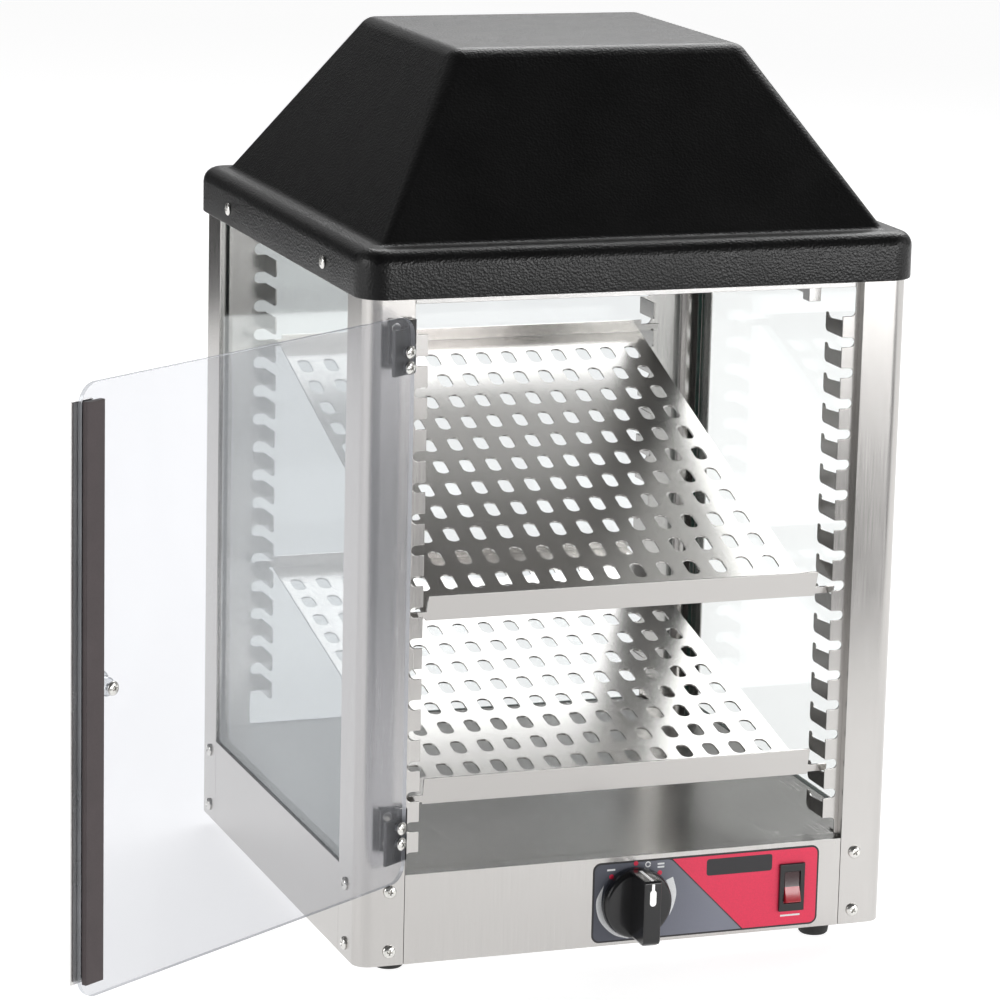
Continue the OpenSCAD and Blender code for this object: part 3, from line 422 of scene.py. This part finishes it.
def soften(obj, width, segments=2, angle=35):
    """Rounds every sharp edge by width and shades the flats flat and the rounds round."""
    for polygon in obj.data.polygons:
        polygon.use_smooth = True
    if width:
        add_modifier(obj, "BEVEL", width=width, segments=segments, limit_method="ANGLE",
                     angle_limit=math.radians(angle), use_clamp_overlap=False, miter_outer="MITER_ARC")
    add_modifier(obj, "WEIGHTED_NORMAL", keep_sharp=True, weight=80)
    return bake_modifiers(obj)


def dress(obj, node, *materials):
    """obj stands for a CAD node: it takes the node's body and slot, and the CAD node is hidden."""
    obj.data.materials.clear()
    for material in materials or [SLOT_MATERIAL[SLOT_OF[node]]]:
        obj.data.materials.append(material)
    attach(obj, BODY_OF[node])
    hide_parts(node)
    return obj


def also(obj, node, *materials):
    """obj is a further piece beside the one that stands for node, such as print on a label."""
    obj.data.materials.clear()
    for material in materials:
        obj.data.materials.append(material)
    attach(obj, BODY_OF[node])
    return obj


def clean_copy(node):
    """The CAD node's mesh as a new bmesh, with its flats merged into whole faces."""
    bm = bmesh.new()
    bm.from_mesh(frame["nodes"][node].data)
    bmesh.ops.remove_doubles(bm, verts=bm.verts, dist=0.001 * MM)
    bmesh.ops.dissolve_limit(bm, angle_limit=math.radians(0.6), verts=bm.verts, edges=bm.edges)
    return bm


def formed(node, width, *materials, segments=2):
    """A finished copy of a CAD node: same shape, with every edge broken by width."""
    obj = new_object(node + "_formed", clean_copy(node))
    return dress(soften(obj, width, segments), node, *materials)


def mark_edges(obj, axis, limit=0.7):
    """Gives faces that don't look along axis the second material: the cut edges of a sheet."""
    for polygon in obj.data.polygons:
        polygon.material_index = 0 if abs(polygon.normal.dot(axis)) > limit else 1


def ring_solid(name, rings, closed=False, mouth=False):
    """A skin through rings of equal length, capped at both ends.

    closed joins the last ring to the first instead, and mouth leaves the first end open."""
    bm = bmesh.new()
    rows = [[bm.verts.new(p) for p in ring] for ring in rings]
    count = len(rows[0])
    pairs = list(zip(rows, rows[1:] + rows[:1])) if closed else list(zip(rows, rows[1:]))
    for a, b in pairs:
        for i in range(count):
            bm.faces.new((a[i], a[(i + 1) % count], b[(i + 1) % count], b[i]))
    if not closed and not mouth:
        bm.faces.new(rows[0][::-1])
    if not closed:
        bm.faces.new(rows[-1])
    return new_object(name, bm)


def lathed(name, profile, place, axis, sides=64):
    """A turned solid: profile is (radius, height) from end to end, axis is where height grows."""
    turn = Vector((0, 0, 1)).rotation_difference(Vector(axis)).to_matrix().to_4x4()
    where = Matrix.Translation(place) @ turn
    angles = [2 * math.pi * i / sides for i in range(sides)]
    rings = [[where @ Vector((r * math.cos(a), r * math.sin(a), h)) for a in angles] for r, h in profile]
    return ring_solid(name, rings)


def arc(centre, radius, start, end, steps):
    """Points on a circle, from start to end in degrees, both included."""
    turn = [math.radians(start + (end - start) * i / steps) for i in range(steps + 1)]
    return [(centre[0] + radius * math.cos(t), centre[1] + radius * math.sin(t)) for t in turn]


def rounded_outline(corners, steps=6):
    """An outline from (x, y, radius) corners, each rounded by its radius."""
    points = []
    for i, (x, y, radius) in enumerate(corners):
        here = Vector((x, y))
        before = (Vector(corners[i - 1][:2]) - here).normalized()
        after = (Vector(corners[(i + 1) % len(corners)][:2]) - here).normalized()
        if radius <= 0:
            points.append((x, y))
            continue
        half = before.angle(after) / 2
        reach = radius / math.tan(half)
        centre = here + (before + after).normalized() * (radius / math.sin(half))
        first = here + before * reach - centre
        last = here + after * reach - centre
        turn = first.angle_signed(last)
        for k in range(steps + 1):
            spot = first.copy()
            spot.rotate(Matrix.Rotation(-turn * k / steps, 2))
            points.append(tuple(centre + spot))
    return points


def panel_piece(name, outline, y, thickness, edge=0.0):
    """A flat piece on an upright plane: outline is (x, z), and it stands out to -Y from y."""
    bm = bmesh.new()
    back = [bm.verts.new((px, y, pz)) for px, pz in outline]
    front = [bm.verts.new((px, y - thickness, pz)) for px, pz in outline]
    bm.faces.new(back)
    bm.faces.new(front[::-1])
    for i in range(len(outline)):
        k = (i + 1) % len(outline)
        bm.faces.new((back[i], back[k], front[k], front[i]))
    return soften(new_object(name, bm), edge)


def islands(node, undo=Matrix.Identity(4)):
    """The separate solids of a CAD node, each as a list of points, after undo is applied."""
    bm = bmesh.new()
    bm.from_mesh(frame["nodes"][node].data)
    bmesh.ops.remove_doubles(bm, verts=bm.verts, dist=0.001 * MM)
    found, seen = [], set()
    for start in bm.verts:
        if start in seen:
            continue
        group, front = [], [start]
        seen.add(start)
        while front:
            v = front.pop()
            group.append(undo @ v.co)
            for edge in v.link_edges:
                other = edge.other_vert(v)
                if other not in seen:
                    seen.add(other)
                    front.append(other)
        found.append(group)
    bm.free()
    return found


def extent(points):
    """(lowest corner, highest corner) of some points."""
    return (Vector([min(p[i] for p in points) for i in range(3)]),
            Vector([max(p[i] for p in points) for i in range(3)]))


# ---------------------------------------------------------------- screws

def screw_mesh(radius, height):
    """A pan head with a cross recess, standing on z = 0, with a short shank below."""
    crown = [(radius * 0.995 * math.sin(math.radians(a)), height * (0.28 + 0.72 * math.cos(math.radians(a))))
             for a in (3, 18, 34, 50, 64, 78, 90)]
    shank = 0.48 * radius
    profile = [(0.4 * radius, -0.9 * radius), (shank, -0.85 * radius), (shank, -0.02 * radius),
               (0.93 * radius, 0.0), (radius, 0.05 * height)] + crown[::-1]
    head = lathed("screw_blank", profile, (0, 0, 0), (0, 0, 1), 40)
    bm = bmesh.new()
    mouth = (0.56 * radius, 0.105 * radius, 1.2 * height)
    bed = (0.2 * radius, 0.07 * radius, 0.15 * height)
    for turn in (0, 90):
        rows = [[(sx * long, sy * wide, level) for sx, sy in ((1, 1), (-1, 1), (-1, -1), (1, -1))]
                for long, wide, level in (mouth, bed)]
        spin = Matrix.Rotation(math.radians(turn), 4, "Z")
        top, bottom = [[bm.verts.new(spin @ Vector(p)) for p in row] for row in rows]
        bm.faces.new(top)
        bm.faces.new(bottom[::-1])
        for i in range(4):
            bm.faces.new((top[i], bottom[i], bottom[(i + 1) % 4], top[(i + 1) % 4]))
    cutter = new_object("screw_cutter", bm)
    add_modifier(head, "BOOLEAN", operation="DIFFERENCE", object=cutter, solver="EXACT", use_self=True)
    bake_modifiers(head)
    bpy.data.objects.remove(cutter)
    soften(head, 0.02 * radius, 1, 40)
    mesh = head.data
    bpy.data.objects.remove(head)
    return mesh


def screw_places(node, undo=Matrix.Identity(4)):
    """(where the head sits, the way it faces) for each screw of a CAD node."""
    places = []
    for points in islands(node, undo):
        low, high = extent(points)
        size = high - low
        spread = [abs(size[(i + 1) % 3] - size[(i + 2) % 3]) for i in range(3)]
        axis = spread.index(min(spread))
        others = [(axis + 1) % 3, (axis + 2) % 3]
        middle = (low + high) / 2
        wide = max(size[others[0]], size[others[1]]) / 2
        rim = [p[axis] for p in points if math.hypot(*(p[k] - middle[k] for k in others)) > 0.9 * wide]
        face = 1 if high[axis] - max(rim) < min(rim) - low[axis] else -1
        seat = min(rim) if face > 0 else max(rim)
        head = (high[axis] - seat) if face > 0 else (seat - low[axis])
        spot = middle.copy()
        spot[axis] = seat
        way = Vector((0, 0, 0))
        way[axis] = face
        places.append((spot, way, wide, head))
    return places


def screws(node, redo=Matrix.Identity(4)):
    """All screws of a CAD node as one piece, each turned its own way."""
    chance = random.Random(node)
    bm = bmesh.new()
    for spot, way, radius, height in screw_places(node, redo.inverted()):
        mesh = screw_mesh(radius, height)
        turn = Vector((0, 0, 1)).rotation_difference(way).to_matrix().to_4x4()
        spin = Matrix.Rotation(chance.uniform(0, math.pi / 2), 4, "Z")
        mesh.transform(redo @ Matrix.Translation(spot) @ turn @ spin)
        bm.from_mesh(mesh)
    obj = new_object(node + "_turned", bm)
    for polygon in obj.data.polygons:
        polygon.use_smooth = True
    add_modifier(obj, "WEIGHTED_NORMAL", keep_sharp=True, weight=80)
    return dress(bake_modifiers(obj), node)


# ---------------------------------------------------------------- cabinet

def sheet_metal():
    """Folded and punched sheet, each piece with its grain the way it was cut."""
    for node in ("front_panel", "rear_base_panel", "left_base_panel", "right_base_panel"):
        formed(node, 0.35 * MM, STEEL_Z)
    for side in ("front_left", "front_right", "rear_left", "rear_right"):
        formed("post_" + side, 0.35 * MM, STEEL_Z)
        formed("rail_" + side, 0.3 * MM, STEEL_Z)
    formed("floor_pan", 0.3 * MM, STEEL_Y)
    formed("base_pan", 0.3 * MM, BRIGHT)
    formed("top_liner", 0.3 * MM, BRIGHT)
    formed("sensor_bracket", 0.2 * MM, BRIGHT)
    for node in ("shelf_upper", "shelf_lower"):
        formed(node, 0.25 * MM, STEEL_Y)


def glazing():
    """Three fixed panes whose cut edges show green."""
    for node, axis, clear in (("left_glass", (1, 0, 0), GLASS), ("right_glass", (1, 0, 0), GLASS),
                              ("back_glass", (0, 1, 0), BACK_GLASS)):
        mark_edges(formed(node, 0.4 * MM, clear, GLASS_EDGE), Vector(axis))


def rounded_ring(half_x, half_y, radius, z, steps=8):
    """A rectangle with round corners, centred, at height z."""
    ring = []
    for k, (sx, sy) in enumerate(((1, 1), (-1, 1), (-1, -1), (1, -1))):
        centre = (sx * (half_x - radius), sy * (half_y - radius))
        ring += [(x, y, z) for x, y in arc(centre, radius, 90 * k, 90 * k + 90, steps)]
    return ring


def brim_rings(half, base, brim):
    """The straight side of the brim and its rounded shoulder, up to height brim."""
    shoulder, corner, lip = 9 * MM, 17 * MM, 0.5 * MM
    rings = [rounded_ring(half - lip, half - lip, corner, base),
             rounded_ring(half, half, corner, base + 0.6 * MM),
             rounded_ring(half, half, corner, base + 10 * MM)]
    for a in range(0, 91, 15):
        back = shoulder * (1 - math.cos(math.radians(a)))
        rise = shoulder * math.sin(math.radians(a))
        rings.append(rounded_ring(half - back, half - back, corner - back, brim - shoulder + rise))
    return rings


def crown_rings(foot, foot_z, brim, top):
    """The tapered crown: a fillet at its foot, straight sides, and a rounded upper edge."""
    foot_r, round_r, fillet = 5 * MM, 12 * MM, 2.4 * MM
    ball_x, ball_y, ball_z = 85.8 * MM, 80.8 * MM, top - round_r

    def tangent(ball):
        """Where the sloping side leaves its foot's line and meets the top's rounding."""
        gap = Vector((foot - ball, foot_z - ball_z))
        lean = math.acos(round_r / gap.length) + math.atan2(gap.y, gap.x)
        return Vector((ball, ball_z)) + round_r * Vector((math.cos(lean), math.sin(lean))), lean

    def side(end, z):
        """Half the crown's width at height z."""
        return foot + (end.x - foot) * (z - foot_z) / (end.y - foot_z)

    (end_x, lean_x), (end_y, lean_y) = tangent(ball_x), tangent(ball_y)
    rings = []
    for step in (0.0, 0.25, 0.5, 0.75, 1.0):
        z = brim + fillet * step * step
        flare = fillet * (1 - step) ** 2
        rings.append(rounded_ring(side(end_x, z) + flare, side(end_y, z) + flare, foot_r + flare, z))
    end_r = round_r * math.cos((lean_x + lean_y) / 2)
    for step in (0.1, 0.3, 0.5, 0.7, 0.9, 1.0):
        z = brim + fillet + (end_x.y - brim - fillet) * step
        rings.append(rounded_ring(side(end_x, z), side(end_y, z), foot_r + (end_r - foot_r) * step, z))
    for step in range(1, 9):
        t = step / 8
        ax, ay = (lean + (math.pi / 2 - lean) * t for lean in (lean_x, lean_y))
        rings.append(rounded_ring(ball_x + round_r * math.cos(ax), ball_y + round_r * math.cos(ay),
                                  max(round_r * math.cos(ax), 0.3 * MM), ball_z + round_r * math.sin(ax)))
    return rings


def hood():
    """The formed black hood: a straight brim with a rounded shoulder and a tapered crown."""
    low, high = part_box("hood")
    half, base, top = high.x, low.z, high.z
    brim, crown_foot, crown_inset = base + 28.4 * MM, base + 22.4 * MM, 12.5 * MM
    rings = brim_rings(half, base, brim) + crown_rings(half - crown_inset, crown_foot, brim, top)
    obj = ring_solid("hood_formed", rings, mouth=True)
    add_modifier(obj, "SOLIDIFY", thickness=3 * MM, offset=-1, use_even_offset=True)
    dress(soften(obj, 0), "hood")


def feet():
    """Rubber feet that narrow a little towards a hollow ring on the counter."""
    bore, well, well_h, lip = 2.2 * MM, 5.2 * MM, 4 * MM, 0.8 * MM
    for side in ("front_left", "front_right", "rear_left", "rear_right"):
        node = "foot_" + side
        low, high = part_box(node)
        middle = (low + high) / 2
        r, h = (high.x - low.x) / 2, high.z
        profile = [(bore, h), (r - lip, h), (r, h - lip), (r - 0.4 * MM, h * 0.5),
                   (r - 1.0 * MM, lip * 1.2), (r - 1.9 * MM, 0), (well + 0.6 * MM, 0),
                   (well, 0.5 * MM), (well, well_h), (bore, well_h)]
        rings = [[Vector((middle.x + pr * math.cos(a), middle.y + pr * math.sin(a), ph))
                  for a in (2 * math.pi * i / 48 for i in range(48))] for pr, ph in profile]
        obj = ring_solid(node + "_moulded", rings, closed=True)
        dress(soften(obj, 0.15 * MM, 1, 50), node)


# ---------------------------------------------------------------- controls

INK = 0.03 * MM


class Label:
    """The label's own plane: x and z in mm from its lower left corner, and layers of ink."""

    def __init__(self):
        low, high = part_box("control_label")
        self.x0, self.z0, self.face, self.back = low.x, low.z, low.y, high.y
        self.wide, self.tall = (high.x - low.x) / MM, (high.z - low.z) / MM

    def place(self, x, z, *rest):
        return (self.x0 + x * MM, self.z0 + z * MM, *(r * MM for r in rest))

    def rounded(self, corners):
        return rounded_outline([self.place(*corner) for corner in corners])

    def box(self, x0, z0, x1, z1, radius):
        """The outline of a rectangle with round corners."""
        return self.rounded([(x0, z0, radius), (x1, z0, radius), (x1, z1, radius), (x0, z1, radius)])

    def ink(self, name, outline, material, under=0):
        """A printed shape, on top of some layers that lie under it."""
        piece = panel_piece("control_label_" + name, outline, self.face - under * INK, INK)
        also(piece, "control_label", material)


def flowing(points, steps=8):
    """A smooth line through points (a Catmull-Rom curve)."""
    line = []
    for i in range(len(points) - 1):
        a, b = points[max(i - 1, 0)], points[i]
        c, d = points[i + 1], points[min(i + 2, len(points) - 1)]
        for k in range(steps):
            t = k / steps
            line.append([0.5 * (2 * b[j] + (c[j] - a[j]) * t
                                + (2 * a[j] - 5 * b[j] + 4 * c[j] - d[j]) * t * t
                                + (3 * b[j] - a[j] - 3 * c[j] + d[j]) * t ** 3) for j in (0, 1)])
    return line + [list(points[-1])]


def label_fields(label):
    """The dark sheet, its slate and red fields with a sloping border, and a blank name plate."""
    sheet = panel_piece("control_label_sheet", label.box(0, 0, label.wide, label.tall, 5),
                        label.back, label.back - label.face, 0.08 * MM)
    dress(sheet, "control_label", LABEL_EDGE)
    rim, split, corner = 1.15, 0.5, 3.85
    top_x, bottom_x = 50.7, 97.9
    foot, head, end = rim, label.tall - rim, label.wide - rim
    label.ink("slate", label.rounded([(rim, foot, corner), (bottom_x - split, foot, 0),
                                      (top_x - split, head, 6), (rim, head, corner)]), LABEL_GREY)
    label.ink("red", label.rounded([(bottom_x + split, foot, 0), (end, foot, corner),
                                    (end, head, corner), (top_x + split, head, 0)]), LABEL_RED)
    label.ink("plate", label.box(73.5, 36.6, 116.5, 47.1, 1.8), LABEL_EDGE, 1)


def label_sweeps(label):
    """Two white crescents round the knob, each between an outer and an inner line."""
    crescents = {
        "left": (((7.0, 36.2), (2.5, 26.9), (3.9, 16.6), (8.5, 9.5), (15.3, 4.0), (23.8, 1.4)),
                 ((24.7, 2.9), (17.4, 6.6), (11.2, 12.8), (6.9, 19.0), (5.8, 26.6), (7.0, 36.2))),
        "right": (((51.7, 38.0), (54.1, 28.7), (52.9, 20.4), (49.9, 13.4)),
                  ((49.9, 13.4), (51.2, 20.4), (50.8, 27.2), (47.2, 36.2)))}
    for name, (outer, inner) in crescents.items():
        outline = [label.place(*point) for point in flowing(outer) + flowing(inner)]
        outline = [p for i, p in enumerate(outline) if math.dist(p, outline[i - 1]) > 0.05 * MM]
        label.ink("sweep_" + name, outline, LABEL_WHITE, 1)


def label_marks(label):
    """Red dots at the knob's settings, with plain bars and a ring where words would stand."""
    dots = {"off": (27.4, 48.4), "low": (11.8, 41.3), "high": (43.0, 41.3)}
    for name, spot in dots.items():
        label.ink("dot_" + name, arc(label.place(*spot), 1.5 * MM, 0, 345, 23), LABEL_DOT, 2)
    bars = {"low": (11.5, 45.0, 5.2), "high": (43.6, 44.4, 4.4), "high_upper": (43.6, 46.4, 4.4),
            "power": (129.6, 6.4, 13.0)}
    thick = 1.1
    for name, (x, z, wide) in bars.items():
        left, right = x - wide / 2, x + wide / 2
        corners = [(left, z), (right, z), (right, z + thick), (left, z + thick)]
        label.ink("bar_" + name, [label.place(*corner) for corner in corners], LABEL_WHITE, 2)
    centre = label.place(35.2, 47.2)
    ring = arc(centre, 1.9 * MM, 0, 350, 28) + arc(centre, 1.1 * MM, 350, 0, 28)
    label.ink("ring_off", ring, LABEL_WHITE, 2)


def control_label():
    """The printed label of the controls, without any of its words."""
    label = Label()
    label_fields(label)
    label_sweeps(label)
    label_marks(label)


def knob_skirt(centre, r):
    """The round skirt, with a broken rim at the panel and a fall towards the grip."""
    depth = 6.5 * MM
    profile = [(r * 0.3, 0.4 * MM), (r - 0.7 * MM, 0.0), (r, 0.7 * MM), (r - 0.6 * MM, 4.2 * MM),
               (r - 1.0 * MM, 5.2 * MM), (r - 1.8 * MM, 6.0 * MM), (r - 3.0 * MM, 6.4 * MM),
               (r * 0.4, depth)]
    return lathed("control_knob_moulded", profile, centre, (0, -1, 0), 96)


def knob_grip(centre, r, reach):
    """The grip bar: narrower in front, with a square upper end and a round, sloped lower one."""
    half, nose, wall, end = 6.0 * MM, 5.4 * MM, r - 0.6 * MM, r - 0.4 * MM
    outline = rounded_outline([(-end, 2 * MM, 0), (wall, 2 * MM, 0), (wall, reach, 1.8 * MM),
                               (4.5 * MM - r, reach, 3.5 * MM), (2 * MM - r, reach - 4 * MM, 5 * MM),
                               (-end, 10 * MM, 5 * MM)], 6)

    def half_width(depth):
        return half + (nose - half) * depth / reach

    bm = bmesh.new()
    sides = [[bm.verts.new((centre.x + s * half_width(d), centre.y - d, centre.z + z)) for z, d in outline]
             for s in (1, -1)]
    bm.faces.new(sides[0])
    bm.faces.new(sides[1][::-1])
    for i in range(len(outline)):
        k = (i + 1) % len(outline)
        bm.faces.new((sides[0][i], sides[0][k], sides[1][k], sides[1][i]))
    grip = new_object("knob_grip", bm)
    plan = arc((centre.x, centre.z - end + half), half, 180, 360, 24)
    plan += [(centre.x + half, centre.z + r), (centre.x - half, centre.z + r)]
    limit = panel_piece("knob_limit", plan, centre.y, reach + 1 * MM)
    add_modifier(grip, "BOOLEAN", operation="INTERSECT", object=limit, solver="EXACT")
    bake_modifiers(grip)
    bpy.data.objects.remove(limit)
    return soften(grip, 0.7 * MM, 3, 40)


def knob():
    """The skirt and its grip bar in one mesh, and the white pointer line set into the bar."""
    low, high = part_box("control_knob")
    centre = Vector(((low.x + high.x) / 2, high.y, (low.z + high.z) / 2))
    r, reach = (high.x - low.x) / 2, high.y - low.y
    bm = bmesh.new()
    for piece in (knob_skirt(centre, r), knob_grip(centre, r, reach)):
        bm.from_mesh(piece.data)
        bpy.data.objects.remove(piece)
    dress(soften(new_object("control_knob_moulded", bm), 0), "control_knob")
    # The pointer line's white glows a little: painted light in the knob's shade.
    formed("knob_pointer", 0.05 * MM)


def rocker_switch():
    """The bezel and the rocker, whose upper half takes a darker copy of its red as painted shade from the bezel.
    """
    formed("switch_bezel", 0.45 * MM, segments=3)
    rocker = formed("rocker", 0.5 * MM, ROCKER_RED, ROCKER_RED_PAINTED_SHADE, segments=3)
    # Faces above the rocker's middle take the darker red: painted shade under the bezel.
    middle = JOINT["rocker_tilt"]["pos_m"][2]
    for polygon in rocker.data.polygons:
        polygon.material_index = 1 if polygon.center.z > middle + 0.3 * MM else 0


# ---------------------------------------------------------------- door

def door_turn():
    """From the closed door to the open one that the case is at rest with."""
    hinge = JOINT["door_hinge"]
    pin = Matrix.Translation(hinge["pos_m"])
    return pin @ Matrix.Rotation(-math.radians(hinge["range_deg"][1]), 4, "Z") @ pin.inverted()


def door():
    """The pane with its strips and hinges, and everything that is screwed to it."""
    turn = door_turn()
    pane = formed("door_pane", 0.35 * MM, DOOR_SHEET, DOOR_EDGE)
    mark_edges(pane, turn.to_3x3() @ Vector((0, -1, 0)))
    formed("door_edge_strip", 0.3 * MM)
    formed("door_magnet", 0.4 * MM)
    for node in ("hinge_door_leaf_upper", "hinge_door_leaf_lower",
                 "hinge_post_leaf_upper", "hinge_post_leaf_lower"):
        formed(node, 0.45 * MM, segments=3)
    for node in ("hinge_pin_upper", "hinge_pin_lower"):
        formed(node, 0.25 * MM)
    screws("hinge_door_screws", turn)
    screws("door_knob_screw", turn)
    door_pull(turn)


def door_pull(turn):
    """The clear knob of the door: a narrow neck that swells to a domed end."""
    low, high = extent([turn.inverted() @ v.co for v in frame["nodes"]["door_knob"].data.vertices])
    middle = (low + high) / 2
    r = (high.x - low.x) / 2
    neck = 0.62 * r
    profile = [(0.5 * r, 0), (neck, 0.3 * MM), (neck, 3.6 * MM), (0.72 * r, 4.6 * MM),
               (0.94 * r, 6.4 * MM), (r, 8.2 * MM), (0.97 * r, 10.4 * MM), (0.86 * r, 12.6 * MM),
               (0.7 * r, 13.4 * MM), (0.3 * r, 13.5 * MM)]
    piece = lathed("door_knob_moulded", profile, (middle.x, high.y, middle.z), (0, -1, 0), 48)
    piece.data.transform(turn)
    dress(soften(piece, 0), "door_knob")


# ---------------------------------------------------------------- inside the base

def inner_parts():
    """Parts that are only seen through the vents: CAD shapes with worked edges and finishes."""
    for node in ("infinite_control", "switch_body", "limit_thermostat", "terminal_block",
                 "element_clamps", "cord_gland", "control_nut"):
        formed(node, 0.3 * MM)
    for node in ("heating_element", "wiring", "control_shaft"):
        obj = frame["nodes"][node]
        obj.data.materials.clear()
        obj.data.materials.append(SLOT_MATERIAL[SLOT_OF[node]])


camera()
studio()
floor()
flag("cloth_front", [(-1.6, -1.75, FLAG_RISE), (1.9, -1.75, FLAG_RISE),
                     (1.9, -0.85, FLAG_RISE), (-1.6, -0.85, FLAG_RISE)])
flag("cloth_rear_left", [(-1.6, 1.9, 0.01), (-0.35, 1.9, 0.01), (-0.35, 1.9, 1.5), (-1.6, 1.9, 1.5)])
sheet_metal()
glazing()
hood()
feet()
for screw_node in ("post_screws", "hood_screws", "base_screws", "foot_screws"):
    screws(screw_node)
formed("hinge_post_screws", 0.2 * MM)
control_label()
knob()
rocker_switch()
door()
inner_parts()

bpy.context.view_layer.update()
